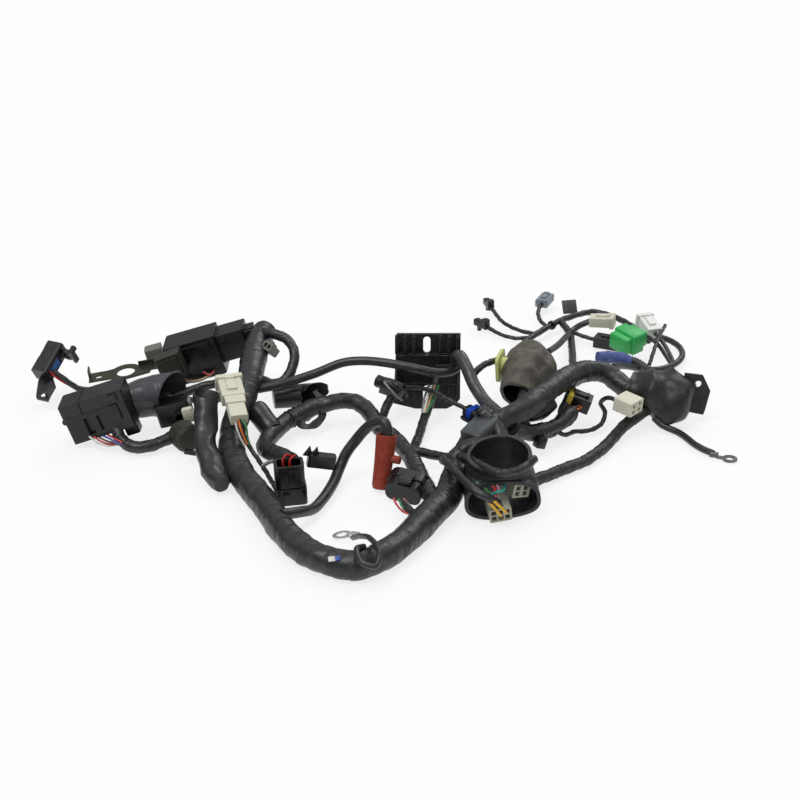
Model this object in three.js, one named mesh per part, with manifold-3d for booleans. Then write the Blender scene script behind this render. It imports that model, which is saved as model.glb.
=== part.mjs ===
// A motorcycle's main wiring harness lying in a loose heap, in millimetres, +Z up, +X to the right.
import * as THREE from "three";
import { mergeVertices } from "three/addons/utils/BufferGeometryUtils.js";
import Module from "manifold-3d";

const wasm = await Module();
wasm.setup();

// Clearance between pieces that touch
const gap = 0.3;

// The heap's length from end to end and its depth from front to back, to which every place on the bench is laid out
const harnessLength = 622;
const harnessDepth = 565;
const laidOut = ([x, y, z]) => [(x * harnessLength) / 622, (y * harnessDepth) / 565, z];

// From the bench layout to the part's frame, whose origin is the bottom centre of its box
const frameShift = laidOut([25.5, -10, -0.2]);

// Taped bundles, hoses and leads
const trunkDiameter = 22.5;
const rightArmDiameter = 19;
const loopDiameter = 9;
const conduitDiameter = 8;
const archHoseDiameter = 11;
const upperBranchDiameter = 14;
const dropBranchDiameter = 15;
const bootHoseDiameter = 9;
const floorBranchDiameter = 10;
const rearBundleDiameter = 6;
const rearDropDiameter = 7;
const thinLeadDiameter = 4;
const hoseLoopDiameter = 6;
const groundLeadDiameter = 6;
const ringLeadDiameter = 4.5;
const fuseTubeDiameter = 10.5;
const clipLeadDiameter = 5.5;
const coverLeadDiameter = 7;
const shortBranchDiameter = 8;
const plateLeadDiameter = 8;
const knotDiameter = 14;

// Vinyl sleeves and rubber
const sleeveWall = 1.2;
const leftSleeveWidth = 31;
const leftSleeveHeight = 27;
const hangingSleeveWidth = 21;
const hangingSleeveHeight = 17;
const openSleeveDiameter = 20;
const coverWall = 2.2;
const bootWall = 2.4;

// Fuse box
const fuseBoxWidth = 57;
const fuseBoxDepth = 27;
const fuseBoxBaseHeight = 25;
const fuseBoxLidHeight = 11;
const fuseSlotWidth = 6;

// Starter relay holder and cube relay
const holderWidth = 49;
const holderDepth = 34;
const holderHeight = 38;
const socketBlockWidth = 27;
const socketBlockHeight = 27;
const cubeRelaySide = 23;

// Finned plate
const plateWidth = 60;
const plateHeight = 64;
const plateThickness = 4;
const finHeight = 16;
const finDepth = 7;
const finThickness = 2.2;
const finCount = 7;
const plateSlotWidth = 6.5;
const plateSlotLength = 15;

// Terminal cavities in the connectors' mouths
const widestCavity = 3.8;

// Bracket and terminals
const bracketThickness = 1.5;
const bracketHoleDiameter = 17;
const ringTerminalOuter = 15;
const ringTerminalHole = 8.5;
const groundRingOuter = 13;
const groundRingHole = 6.5;
const terminalThickness = 1.2;

const up = new THREE.Vector3(0, 0, 1);
const radians = THREE.MathUtils.degToRad;

// Booleans between closed three.js geometries
function solidOf(geometry) {
  const bare = geometry.clone();
  bare.deleteAttribute("normal");
  bare.deleteAttribute("uv");
  const merged = mergeVertices(bare, 1e-4);
  return new wasm.Manifold(
    new wasm.Mesh({
      numProp: 3,
      vertProperties: new Float32Array(merged.attributes.position.array),
      triVerts: new Uint32Array(merged.index.array),
    }),
  );
}

function geometryOf(solid) {
  const mesh = solid.getMesh();
  const count = mesh.numVert;
  const points = new Float32Array(count * 3);
  for (let i = 0; i < count; i++) {
    points.set(mesh.vertProperties.subarray(i * mesh.numProp, i * mesh.numProp + 3), i * 3);
  }
  const geometry = new THREE.BufferGeometry();
  geometry.setAttribute("position", new THREE.BufferAttribute(points, 3));
  geometry.setIndex(new THREE.BufferAttribute(new Uint32Array(mesh.triVerts), 1));
  return geometry.toNonIndexed();
}

function joined(...solids) {
  return solids.reduce((whole, next) => whole.add(next));
}

function largestBody(solid) {
  return solid.decompose().reduce((most, next) => (next.volume() > most.volume() ? next : most));
}

function pose(position, turn = [0, 0, 0]) {
  const euler = new THREE.Euler(radians(turn[0]), radians(turn[1]), radians(turn[2]), "ZYX");
  const spin = new THREE.Quaternion().setFromEuler(euler);
  return new THREE.Matrix4().compose(new THREE.Vector3(...position), spin, new THREE.Vector3(1, 1, 1));
}

// A piece's place on the bench
function place(position, turn) {
  return pose(laidOut(position), turn);
}

function beside([x, y, z], [dx, dy, dz]) {
  return [x + dx, y + dy, z + dz];
}

// A frame whose +Z runs from one point towards another, with +X level, turned by roll about +Z
function along(from, to, roll = 0) {
  const start = new THREE.Vector3(...laidOut(from));
  const z = new THREE.Vector3(...laidOut(to)).sub(start).normalize();
  const level = new THREE.Vector3().crossVectors(up, z);
  const x = (level.length() < 0.05 ? new THREE.Vector3(1, 0, 0) : level).normalize();
  const y = new THREE.Vector3().crossVectors(z, x);
  const frame = new THREE.Matrix4().makeBasis(x, y, z).setPosition(start);
  return frame.multiply(new THREE.Matrix4().makeRotationZ(radians(roll)));
}

// Simple solids, centred on their place
function block(width, depth, height, position = [0, 0, 0], turn = [0, 0, 0]) {
  return solidOf(new THREE.BoxGeometry(width, depth, height).applyMatrix4(pose(position, turn)));
}

function roundedRectangle(width, depth, radius) {
  const x = width / 2;
  const y = depth / 2;
  const shape = new THREE.Shape();
  shape.moveTo(-x + radius, -y);
  shape.lineTo(x - radius, -y);
  shape.absarc(x - radius, -y + radius, radius, -Math.PI / 2, 0);
  shape.lineTo(x, y - radius);
  shape.absarc(x - radius, y - radius, radius, 0, Math.PI / 2);
  shape.lineTo(-x + radius, y);
  shape.absarc(-x + radius, y - radius, radius, Math.PI / 2, Math.PI);
  shape.lineTo(-x, -y + radius);
  shape.absarc(-x + radius, -y + radius, radius, Math.PI, 1.5 * Math.PI);
  return shape;
}

function moulded(width, depth, height, position = [0, 0, 0], turn = [0, 0, 0], radius = 1.6) {
  const shape = roundedRectangle(width, depth, radius);
  const geometry = new THREE.ExtrudeGeometry(shape, { depth: height, bevelEnabled: false, curveSegments: 2 });
  return solidOf(geometry.translate(0, 0, -height / 2).applyMatrix4(pose(position, turn)));
}

function slab(shape, thickness, matrix = new THREE.Matrix4()) {
  const geometry = new THREE.ExtrudeGeometry(shape, { depth: thickness, bevelEnabled: false, curveSegments: 10 });
  return solidOf(geometry.applyMatrix4(matrix));
}

function disc(radius, height, position = [0, 0, 0], turn = [0, 0, 0], sides = 16) {
  const geometry = new THREE.CylinderGeometry(radius, radius, height, sides).rotateX(Math.PI / 2);
  return solidOf(geometry.applyMatrix4(pose(position, turn)));
}

function turned(profile, sides = 20) {
  const points = profile.map(([radius, height]) => new THREE.Vector2(radius, height));
  return solidOf(new THREE.LatheGeometry(points, sides).rotateX(Math.PI / 2));
}

// A cord: a round section carried along a smooth line through hand-placed points
function lineThrough(points) {
  return new THREE.CatmullRomCurve3(points.map((p) => new THREE.Vector3(...laidOut(p))), false, "centripetal");
}

function cord(points, diameter, grow = 0) {
  const line = lineThrough(points);
  const sides = diameter < 12 ? 8 : 12;
  const radius = diameter / 2 + grow;
  const section = new THREE.Shape();
  for (let i = 0; i < sides; i++) {
    const angle = (2 * Math.PI * i) / sides;
    const place = [radius * Math.cos(angle), radius * Math.sin(angle)];
    if (i === 0) section.moveTo(...place);
    else section.lineTo(...place);
  }
  const stride = (diameter < 8 ? 2.8 : diameter < 18 ? 2 : 1.4) * diameter;
  const steps = Math.max(4, Math.min(60, Math.round(line.getLength() / stride)));
  return solidOf(new THREE.ExtrudeGeometry(section, { steps, extrudePath: line, bevelEnabled: false }));
}

// A soft skin: rounded sections [x, y, z, width, height, squareness] carried along a line
function skin(stations, grow = 0, sides = 16) {
  const centres = stations.map((s) => new THREE.Vector3(...laidOut(s)));
  const points = [];
  let side;
  stations.forEach(([, , , width, height, power = 2], i) => {
    const before = centres[Math.max(0, i - 1)];
    const after = centres[Math.min(centres.length - 1, i + 1)];
    const ahead = new THREE.Vector3().subVectors(after, before).normalize();
    if (i === 0) {
      const level = new THREE.Vector3().crossVectors(up, ahead);
      side = level.length() < 0.2 ? new THREE.Vector3(1, 0, 0) : level;
    }
    side = side.addScaledVector(ahead, -side.dot(ahead)).normalize();
    const rise = new THREE.Vector3().crossVectors(ahead, side);
    for (let k = 0; k < sides; k++) {
      const angle = (2 * Math.PI * k) / sides;
      const c = Math.cos(angle);
      const s = Math.sin(angle);
      const a = (width / 2 + grow) * Math.sign(c) * Math.abs(c) ** (2 / power);
      const b = (height / 2 + grow) * Math.sign(s) * Math.abs(s) ** (2 / power);
      points.push(centres[i].clone().addScaledVector(side, a).addScaledVector(rise, b));
    }
  });
  const last = stations.length - 1;
  points.push(centres[0], centres[last]);
  const faces = [];
  for (let k = 0; k < sides; k++) {
    const next = (k + 1) % sides;
    for (let i = 0; i < last; i++) {
      const [a, b, c, d] = [i * sides + k, i * sides + next, (i + 1) * sides + next, (i + 1) * sides + k];
      faces.push(a, b, c, a, c, d);
    }
    faces.push(points.length - 2, next, k);
    faces.push(points.length - 1, last * sides + k, last * sides + next);
  }
  const geometry = new THREE.BufferGeometry().setFromPoints(points);
  geometry.setIndex(faces);
  return solidOf(geometry);
}

// The same skin made hollow, open at its last station, and at its first where bothEnds is set
function openSkin(stations, wall, bothEnds = false, grow = 0) {
  const reach = (from, to) => {
    const d = [0, 1, 2].map((i) => to[i] - from[i]);
    const size = Math.hypot(...d);
    return [...d.map((v, i) => to[i] + (4 * v) / size), ...to.slice(3)];
  };
  const inner = stations.slice(bothEnds ? 0 : 1);
  const bore = [...inner];
  if (bothEnds) bore.unshift(reach(inner[1], inner[0]));
  bore.push(reach(inner[inner.length - 2], inner[inner.length - 1]));
  return skin(stations, grow).subtract(skin(bore, -wall - grow));
}

// Materials, with their colours from the photograph
function finish(color, roughness = 0.6, metalness = 0) {
  return new THREE.MeshStandardMaterial({ color, roughness, metalness });
}

const tape = finish(0x2c2d2f, 0.5);
const vinyl = finish(0x3a3c3f, 0.4);
const blackNylon = finish(0x1f2022, 0.5);
const charcoalNylon = finish(0x34353b, 0.45);
const creamNylon = finish(0xd6d5c4, 0.45);
const darkRubber = finish(0x3b3834, 0.75);

// The bench layout: pieces placed first keep their shape, and each cord laid later gives way to them
const harness = new THREE.Group();
const keepOuts = [];

function clearOf(solid) {
  const touching = keepOuts.filter((keepOut) => keepOut.intersect(solid).volume() > 0);
  return largestBody(touching.reduce((rest, keepOut) => rest.subtract(keepOut), solid));
}

function addRigid(name, solid, material, frame, envelope) {
  const mesh = new THREE.Mesh(geometryOf(solid), material);
  mesh.name = name;
  frame.decompose(mesh.position, mesh.quaternion, mesh.scale);
  harness.add(mesh);
  const around = geometryOf(envelope).applyMatrix4(frame);
  keepOuts.push(solidOf(around));
}

function addSoft(name, solid, keepOut, material) {
  const mesh = new THREE.Mesh(geometryOf(clearOf(solid)), material);
  mesh.name = name;
  harness.add(mesh);
  keepOuts.push(keepOut);
}

function addCord(name, material, ...stretches) {
  const solid = joined(...stretches.map(([points, diameter]) => cord(points, diameter)));
  const keepOut = joined(...stretches.map(([points, diameter]) => cord(points, diameter, 1.1 * gap)));
  addSoft(name, solid, keepOut, material);
}

function grownBlock(width, depth, height, position = [0, 0, 0]) {
  return block(width + 2 * gap, depth + 2 * gap, height + 2 * gap, position);
}

// A moulded connector housing along +Z: its mouth is at z = 0 and its wires leave at z = length
function housing({ width, height, length, columns, rows, latch = true, lip = 0, radius = 1.2 }) {
  const depth = 0.35 * length;
  const pitchX = (width - 2) / columns;
  const pitchY = (height - 2) / rows;
  let body = moulded(width, height, length, [0, 0, length / 2], [0, 0, 0], radius);
  if (lip > 0) {
    body = body.add(moulded(width + 2 * lip, height + 2 * lip, 4, [0, 0, 2], [0, 0, 0], radius));
  }
  for (let i = 0; i < columns; i++) {
    for (let j = 0; j < rows; j++) {
      const x = (i - (columns - 1) / 2) * pitchX;
      const y = (j - (rows - 1) / 2) * pitchY;
      const across = Math.min(pitchX - 1.2, widestCavity);
      const high = Math.min(pitchY - 1.2, widestCavity);
      body = body.subtract(block(across, high, 2 * depth, [x, y, 0]));
    }
  }
  if (latch) {
    body = body.add(block(0.4 * width, 2, 0.6 * length, [0, height / 2 + 0.6, 0.45 * length]));
    body = body.add(block(0.4 * width, 3, 2.5, [0, height / 2 + 1, 0.15 * length + 1.25]));
  }
  return body;
}

function addConnector(name, material, from, to, roll, sizes) {
  const { width, height, length, latch = true, lip = 0 } = sizes;
  const head = latch ? 2.5 : lip;
  const envelope = joined(
    grownBlock(width + 2 * lip, height + lip + head, length, [0, (head - lip) / 2, length / 2]),
  );
  addRigid(name, housing(sizes), material, along(from, to, roll), envelope);
}

// Clip-on fuse holder at the left end, propped on its mounting tab, with the fuse in its open side
const clipWidth = 17;
const clipDepth = 16;
const clipLength = 33;

function fuseHolder() {
  let body = moulded(clipWidth, clipDepth, clipLength, [0, 0, clipLength / 2], [0, 0, 0], 2.5);
  body = body.subtract(block(3, 7, 11, [-clipWidth / 2, -clipDepth / 2, 20]));
  body = body.subtract(block(8, 9, 18, [clipWidth / 2, 1, 12]));
  const tab = new THREE.Shape();
  tab.moveTo(-3, 4);
  tab.lineTo(-3, -4);
  tab.lineTo(3, -19);
  tab.lineTo(5, -22);
  tab.lineTo(17, -22);
  tab.lineTo(15, -4);
  tab.lineTo(8, 4);
  tab.closePath();
  tab.holes.push(new THREE.Path().absellipse(9.5, -16.5, 3, 2.8, 0, 2 * Math.PI, true, 0));
  const tabAt = new THREE.Matrix4().makeRotationX(Math.PI / 2).setPosition(0, 6, 0);
  const fold = block(2.5, 9, 13, [15.5, 1, -12]);
  const ring = new THREE.Shape().absarc(0, 0, 6, 0, 2 * Math.PI);
  ring.holes.push(new THREE.Path().absarc(0, 0, 3.4, 0, 2 * Math.PI, true));
  const ringAt = new THREE.Matrix4().makeTranslation(clipWidth / 2 + 5.5, 0, clipLength - 8);
  const post = joined(block(3, 16, 5, [clipWidth / 2 + 12, 0, clipLength - 6]), block(4, 4, 8, [clipWidth / 2 + 13, -7, clipLength - 5]));
  return joined(body, slab(tab, 2.5, tabAt), fold, slab(ring, 4, ringAt), post);
}

const fuseHolderFrame = place([-324, 62, 25.5], [-58, 0, -25]);
addRigid("clip_fuse_holder", fuseHolder(), charcoalNylon, fuseHolderFrame,
  grownBlock(clipWidth, clipDepth, clipLength, [0, 0, clipLength / 2]));
const clipFuse = moulded(3.4, 8.4, 15, [clipWidth / 2 - 2, 1, 12], [0, 0, 0], 0.8);
addRigid("blue_fuse", clipFuse, finish(0x2f6fb5, 0.4), fuseHolderFrame, grownBlock(1, 1, 1, [0, 0, 0]));

// Grey steel relay bracket: a level plate round a large hole, with a small eye and an upturned ear
function relayBracket() {
  const reach = bracketHoleDiameter / 2 + 6;
  const plate = new THREE.Shape();
  plate.moveTo(-34, -8);
  plate.lineTo(-reach, -8);
  plate.lineTo(-6, -reach);
  plate.lineTo(22, -8);
  plate.lineTo(26, 6);
  plate.lineTo(12, reach - 2);
  plate.absarc(0, 0, reach, 0.7, 2.4);
  plate.lineTo(-18, 8);
  plate.lineTo(-34, 8);
  plate.closePath();
  plate.holes.push(new THREE.Path().absarc(0, 0, bracketHoleDiameter / 2, 0, 2 * Math.PI, true));
  plate.holes.push(new THREE.Path().absellipse(-25, -1, 3.6, 2.6, 0, 2 * Math.PI, true, 0));
  const ear = block(bracketThickness, 10, 9, [-34 + bracketThickness / 2, 3, 4.5]);
  const rim = block(14, bracketThickness, 6, [19, 7, 3]);
  const tongue = block(23.6, 8, bracketThickness, [32.7, 1, bracketThickness / 2]);
  return joined(slab(plate, bracketThickness), ear, rim, tongue);
}

const holderPlace = laidOut([-186, 86, 36]);
addRigid("relay_bracket", relayBracket(), finish(0x7a7a70, 0.45, 0.8), pose(beside(holderPlace, [-66, 3, -20]), [4, -8, 6]),
  grownBlock(60, 30, bracketThickness + 1, [-4, 0, 1]));

// Small grey double relay clipped to the bracket's end
const doubleRelay = joined(moulded(18, 15, 9, [0, 0, 4.5]), moulded(16, 14, 9, [-1, 0.5, 12]));
addRigid("double_relay", doubleRelay, finish(0x77776b, 0.6), pose(beside(holderPlace, [-38, 21.8, -18]), [0, -14, 6]),
  grownBlock(18, 15, 17, [0, 0, 8]));

// Olive cube relay, seated on the holder's left face
const cubeRelay = joined(
  moulded(cubeRelaySide, 17, cubeRelaySide, [0, 0, 0]),
  block(cubeRelaySide - 5, 4, cubeRelaySide - 5, [0, -8, 0]),
);
addRigid("cube_relay", cubeRelay, finish(0x46473f, 0.6), pose(beside(holderPlace, [-19, -28.4, 2]), [0, -21, 0]),
  grownBlock(cubeRelaySide, 21, cubeRelaySide, [0, -1, 0]));

// Starter relay holder: a deep moulding, and beside it a raised block with L-shaped cavities
function relayHolder() {
  const blockX = holderWidth / 2 + socketBlockWidth / 2 - 1;
  let body = joined(
    moulded(holderWidth, holderDepth, holderHeight, [0, 0, 0], [0, 0, 0], 2),
    block(holderWidth - 8, 3, 5, [-2, -holderDepth / 2 - 1, holderHeight / 2 - 6]),
    moulded(socketBlockWidth, holderDepth - 8, socketBlockHeight, [blockX, 2, 2]),
    moulded(14, holderDepth - 14, 14, [blockX + 14, 2, 4]),
  );
  for (const z of [9, -1]) {
    body = body.subtract(block(9, 3, 6, [blockX + 18, -3, z]));
    body = body.subtract(block(9, 8, 2.2, [blockX + 18, 1, z - 2]));
  }
  body = body.subtract(block(16, 6, 10, [blockX - 4, -holderDepth / 2 + 5, -8]));
  return body;
}

addRigid("starter_relay_holder", relayHolder(), blackNylon, pose(holderPlace, [0, -17, 0]),
  joined(grownBlock(holderWidth, holderDepth + 4, holderHeight, [0, -1, 0]),
    grownBlock(socketBlockWidth + 8, holderDepth - 8, socketBlockHeight, [holderWidth / 2 + 16, 2, 2])));

// Fuse box: a base with two fuse slots in its face, and a snap-on lid
const fuseBoxFrame = place([-256, -22, 25], [0, -19, 0]);

function fuseBoxBase() {
  let base = moulded(fuseBoxWidth, fuseBoxDepth, fuseBoxBaseHeight, [0, 0, 0], [0, 0, 0], 2);
  base = base.subtract(block(fuseSlotWidth, 8, 16, [-9, -fuseBoxDepth / 2, 0]));
  base = base.subtract(block(2.5, 6, 14, [1, -fuseBoxDepth / 2, 0]));
  base = base.subtract(block(fuseBoxWidth - 10, fuseBoxDepth - 8, 7, [0, 0, -fuseBoxBaseHeight / 2]));
  const band = moulded(9, fuseBoxDepth + 3, fuseBoxBaseHeight, [fuseBoxWidth / 2 - 12, 0, 0]);
  const foot = moulded(12, 14, 10, [fuseBoxWidth / 2 - 6, -4, -fuseBoxBaseHeight / 2 - 3]);
  const hinge = disc(3, 9, [-fuseBoxWidth / 2, -6, fuseBoxBaseHeight / 2 - 4], [90, 0, 0], 10);
  return joined(base, band.subtract(block(12, 40, 14, [fuseBoxWidth / 2 - 12, 0, -9])), foot, hinge);
}

function fuseBoxLid() {
  const lid = moulded(fuseBoxWidth + 1, fuseBoxDepth + 1, fuseBoxLidHeight, [0, 0, 0], [0, 0, 0], 2);
  const groove = block(1, fuseBoxDepth + 4, 2, [-10, 0, fuseBoxLidHeight / 2]);
  const faceGroove = block(1, 2, fuseBoxLidHeight + 2, [-10, -fuseBoxDepth / 2 - 0.5, 0]);
  const catchRib = block(7, 3, 7, [fuseBoxWidth / 2 - 9, -fuseBoxDepth / 2 - 1, 0]);
  return joined(lid, catchRib).subtract(joined(groove, faceGroove));
}

const lidRise = (fuseBoxBaseHeight + fuseBoxLidHeight) / 2 + gap;
addRigid("fuse_box_base", fuseBoxBase(), blackNylon, fuseBoxFrame,
  grownBlock(fuseBoxWidth, fuseBoxDepth + 3, fuseBoxBaseHeight));
addRigid("fuse_box_lid", fuseBoxLid(), blackNylon,
  fuseBoxFrame.clone().multiply(new THREE.Matrix4().makeTranslation(0, 0, lidRise)),
  grownBlock(fuseBoxWidth + 1, fuseBoxDepth + 4, fuseBoxLidHeight));

// Connector with a round socket under the left sleeve, its cream pin block, and the round connector
const socketConnector = joined(
  moulded(30, 18, 20, [0, 0, 10], [0, 0, 0], 3),
  disc(6, 10, [6, -10, 8], [90, 0, 0]),
).subtract(disc(3.6, 24, [6, -14, 8], [90, 0, 0], 12));
addRigid("socket_connector", socketConnector, blackNylon, place([-193, -8, 14], [0, -14, 0]),
  grownBlock(30, 30, 20, [0, -5, 10]));

const roundConnector = turned([[0, 0], [10, 0], [12.5, 3], [12.5, 16], [9, 22], [0, 22]], 16);
addRigid("round_connector", roundConnector, finish(0x2d2f2a, 0.55), along([-178.4, -45.4, 13.5], [-195.4, -19.4, 13.5]),
  grownBlock(25, 25, 22, [0, 0, 11]));

// Cream connector lying on the trunk: a wide half with a lip, and the narrower half plugged into it
const creamPair = joined(
  housing({ width: 20, height: 12, length: 26, columns: 3, rows: 2, lip: 1.6 }),
  moulded(15, 10, 27, [0, 0, 38.5]),
  block(17, 2, 9, [0, 5, 31]),
);
addRigid("cream_connector", creamPair, creamNylon, along([-147, -14, 55], [-134, -62, 41]),
  grownBlock(24, 16, 52, [0, 1, 26]));

// Small grey connector held in the loop branch
addConnector("loop_connector", finish(0x8c8d80, 0.6), [-118, 50, 60], [-112, 64, 46], 20,
  { width: 10, height: 8, length: 16, columns: 2, rows: 1 });

// Finned plate, standing on its lower edge at the back: ribs at the top and bottom, two fixing slots, a raised block
function finnedPlate() {
  const bow = new THREE.Shape();
  bow.moveTo(-plateWidth / 2, 0);
  bow.lineTo(-10, -5);
  bow.lineTo(18, -5);
  bow.lineTo(plateWidth / 2 - 4, -1);
  bow.lineTo(plateWidth / 2, 4);
  bow.lineTo(plateWidth / 2, plateHeight);
  bow.lineTo(-plateWidth / 2 + 3, plateHeight);
  bow.closePath();
  for (const y of [plateHeight - 10, 9]) {
    const slot = new THREE.Path();
    const half = plateSlotWidth / 2;
    const straight = plateSlotLength / 2 - half;
    slot.absarc(0, y + straight, half, 0, Math.PI);
    slot.absarc(0, y - straight, half, Math.PI, 2 * Math.PI);
    slot.closePath();
    bow.holes.push(slot);
  }
  const upright = new THREE.Matrix4().makeRotationX(Math.PI / 2).setPosition(0, plateThickness, 5);
  let plate = slab(bow, plateThickness, upright);
  const pitch = (plateWidth - finThickness) / finCount;
  for (let i = 0; i <= finCount; i++) {
    const x = -plateWidth / 2 + finThickness / 2 + 1.5 + i * pitch * 0.95;
    if (Math.abs(x) > plateSlotWidth) {
      plate = plate.add(block(finThickness, finDepth, finHeight, [x, -finDepth / 2 + 1, plateHeight + 4 - finHeight / 2]));
      plate = plate.add(block(finThickness, finDepth, finHeight, [x, -finDepth / 2 + 1, 9 + finHeight / 2]));
    }
  }
  const panel = moulded(plateWidth - 4, 9, 26, [0, -2, 38], [0, 0, 0], 1.5);
  const raised = moulded(20, 8, 17, [18, -8, 34], [0, 0, 0], 1.5);
  return joined(plate, panel, raised);
}

addRigid("finned_plate", finnedPlate(), finish(0x1c1d1f, 0.45, 0.5), place([24, 44, 0.9], [-10, 0, 0]),
  joined(grownBlock(plateWidth, finDepth + 4, plateHeight + 1, [0, -1.3, plateHeight / 2 + 4.5]),
    grownBlock(20, 8, 17, [18, -8, 34])));

addConnector("plate_connector", finish(0x6f7072, 0.55), [-16, 30, 30], [2, 24, 26], 0,
  { width: 14, height: 9, length: 20, columns: 2, rows: 1 });

// Sealed connector with a bright blue seal ring and a hook lever
const sealedFrame = along([78, -30, 22], [54, -8, 27], 0);
const sealedBody = joined(
  moulded(13, 10, 18, [0, 0, 9], [0, 0, 0], 2.5),
  moulded(11, 8, 5, [0, 0, 25.5], [0, 0, 0], 2),
  moulded(9, 6, 6, [0, 0, 20], [0, 0, 0], 2),
  block(4, 2, 19, [9, -3, 14.5]),
  block(8, 2, 3, [6, -3, 24.5]),
);
addRigid("sealed_connector", sealedBody, blackNylon, sealedFrame, grownBlock(20, 10, 28, [2, 0, 14]));
const sealRing = moulded(13, 10, 4, [0, 0, 20.5], [0, 0, 0], 2.5).subtract(
  moulded(9 + 2 * gap, 6 + 2 * gap, 6, [0, 0, 20.5], [0, 0, 0], 2),
);
addRigid("blue_seal", sealRing, finish(0x2a5fd0, 0.4), sealedFrame, grownBlock(13, 10, 4, [0, 0, 20.5]));

// Square connector standing in front: its open cap over its body
const squareBody = joined(moulded(26, 22, 14, [0, 0, 7], [0, 0, 0], 4), block(5, 4, 8, [-4, -12, 7]));
addRigid("square_connector_body", squareBody, blackNylon, place([-88, -130, 1.5], [-3, -2, 8]),
  grownBlock(26, 26, 14, [0, 0, 7]));
let squareCap = moulded(24, 20, 19, [0, 0, 14 + gap + 9.5], [0, 0, 0], 4);
squareCap = squareCap.subtract(moulded(19, 15, 16, [0, 0, 30], [0, 0, 0], 3));
squareCap = joined(squareCap, block(6, 3, 13, [2, -11, 24]));
addRigid("square_connector_cap", squareCap, blackNylon, place([-88, -130, 1.5], [-3, -2, 8]),
  grownBlock(24, 23, 19, [0, 0, 14 + gap + 9.5]));

// Flat diode block with two fins, on its side beside the square connector
const fin = new THREE.Shape();
fin.moveTo(-4, 0);
fin.lineTo(4, 0);
fin.lineTo(0.5, 9);
fin.closePath();
const finAt = (x) => new THREE.Matrix4().makeRotationX(Math.PI / 2).setPosition(x, 1, 3);
const diode = joined(moulded(23, 9, 11, [8, 0, 0]), slab(fin, 2, finAt(-4)), slab(fin, 2, finAt(2)));
addRigid("diode_block", diode, blackNylon, place([-72, -104, 25], [0, 12, 10]), grownBlock(28, 9, 18, [6, 0, 3.4]));

// Red-brown rubber boot, standing, with a nub on its right side and an open top
const redBootProfile = [[0, 0], [6.5, 0], [7.4, 3], [7.6, 20], [8.2, 34], [8.6, 40], [8.6, 45], [6.8, 45], [6.4, 34], [0, 34]];
const redBoot = joined(
  turned(redBootProfile, 20),
  disc(3.4, 9, [-9.5, 0, 26], [0, 90, 0], 10),
);
addRigid("red_boot", redBoot, finish(0x8f3a2a, 0.6), along([-16, -112, 2.4], [-11, -100, 43]),
  joined(grownBlock(17, 17, 34, [0, 0, 17]), grownBlock(20, 6, 7, [-6, 0, 26])));

// Oval sealed connector with a latch over its body
const ovalConnector = joined(
  moulded(34, 20, 10, [0, 0, 5], [0, 0, 0], 8),
  moulded(30, 17, 12, [0, 0, 14], [0, 0, 0], 6),
  block(8, 4, 13, [0, 10, 12]),
  block(10, 2, 4, [0, 12, 15]),
).subtract(moulded(26, 12, 14, [0, 0, 0], [0, 0, 0], 5));
addRigid("oval_connector", ovalConnector, blackNylon, along([9, -118, 14], [0, -142, 9], -6),
  grownBlock(35, 26, 20, [0, 2, 10]));

// Ring terminals: a flat ring with a folded barrel that holds the lead
function ringTerminal(outer, hole, barrel) {
  const ring = new THREE.Shape().absarc(0, 0, outer / 2, 0, 2 * Math.PI);
  ring.holes.push(new THREE.Path().absarc(0, 0, hole / 2, 0, 2 * Math.PI, true));
  const flat = slab(ring, terminalThickness);
  const neck = block(barrel, outer / 2, terminalThickness, [0, outer / 2 + 1, terminalThickness / 2]);
  const crimp = moulded(barrel, barrel, 7, [0, outer / 2 + 7, barrel / 2], [90, 0, 0], 1.2);
  return joined(flat, neck, crimp);
}

const ringBarrel = 5;
addRigid("ring_terminal", ringTerminal(ringTerminalOuter, ringTerminalHole, ringBarrel), finish(0xc9cbc8, 0.35, 0.9),
  place([-45, -193, 4], [12, 0, -130]), grownBlock(ringBarrel, 12, ringBarrel, [0, ringTerminalOuter / 2 + 5, 2.5]));
addRigid("ground_ring", ringTerminal(groundRingOuter, groundRingHole, 4.5), finish(0xb4b6b4, 0.35, 0.9),
  place([279, -58, 1.5], [0, 0, 70]), grownBlock(4.5, 12, 4.5, [0, groundRingOuter / 2 + 5, 2.2]));

// Two connectors inside the open rubber cover
addConnector("cover_connector_upper", finish(0xa9aa9c, 0.5), [96, -158, 24.6], [85, -137, 26.6], 10,
  { width: 16, height: 12, length: 22, columns: 2, rows: 2 });
addConnector("cover_connector_lower", finish(0x9a9b90, 0.5), [79, -173, 11], [75, -146, 14], -8,
  { width: 18, height: 12, length: 24, columns: 3, rows: 2 });

// Pale yellow flange behind the bulb-socket boot
const flange = joined(moulded(28, 24, 3, [0, 0, 1.5], [0, 0, 0], 5), disc(8, 14, [0, 0, 7], [0, 0, 0], 12));
addRigid("socket_flange", flange, finish(0xc9cf86, 0.5), along([89, 61, 36], [103, 57, 37]),
  joined(grownBlock(28, 24, 3, [0, 0, 1.5]), disc(8 + 1.2 * gap, 14 + 2 * gap, [0, 0, 7], [0, 0, 0], 12)));

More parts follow.
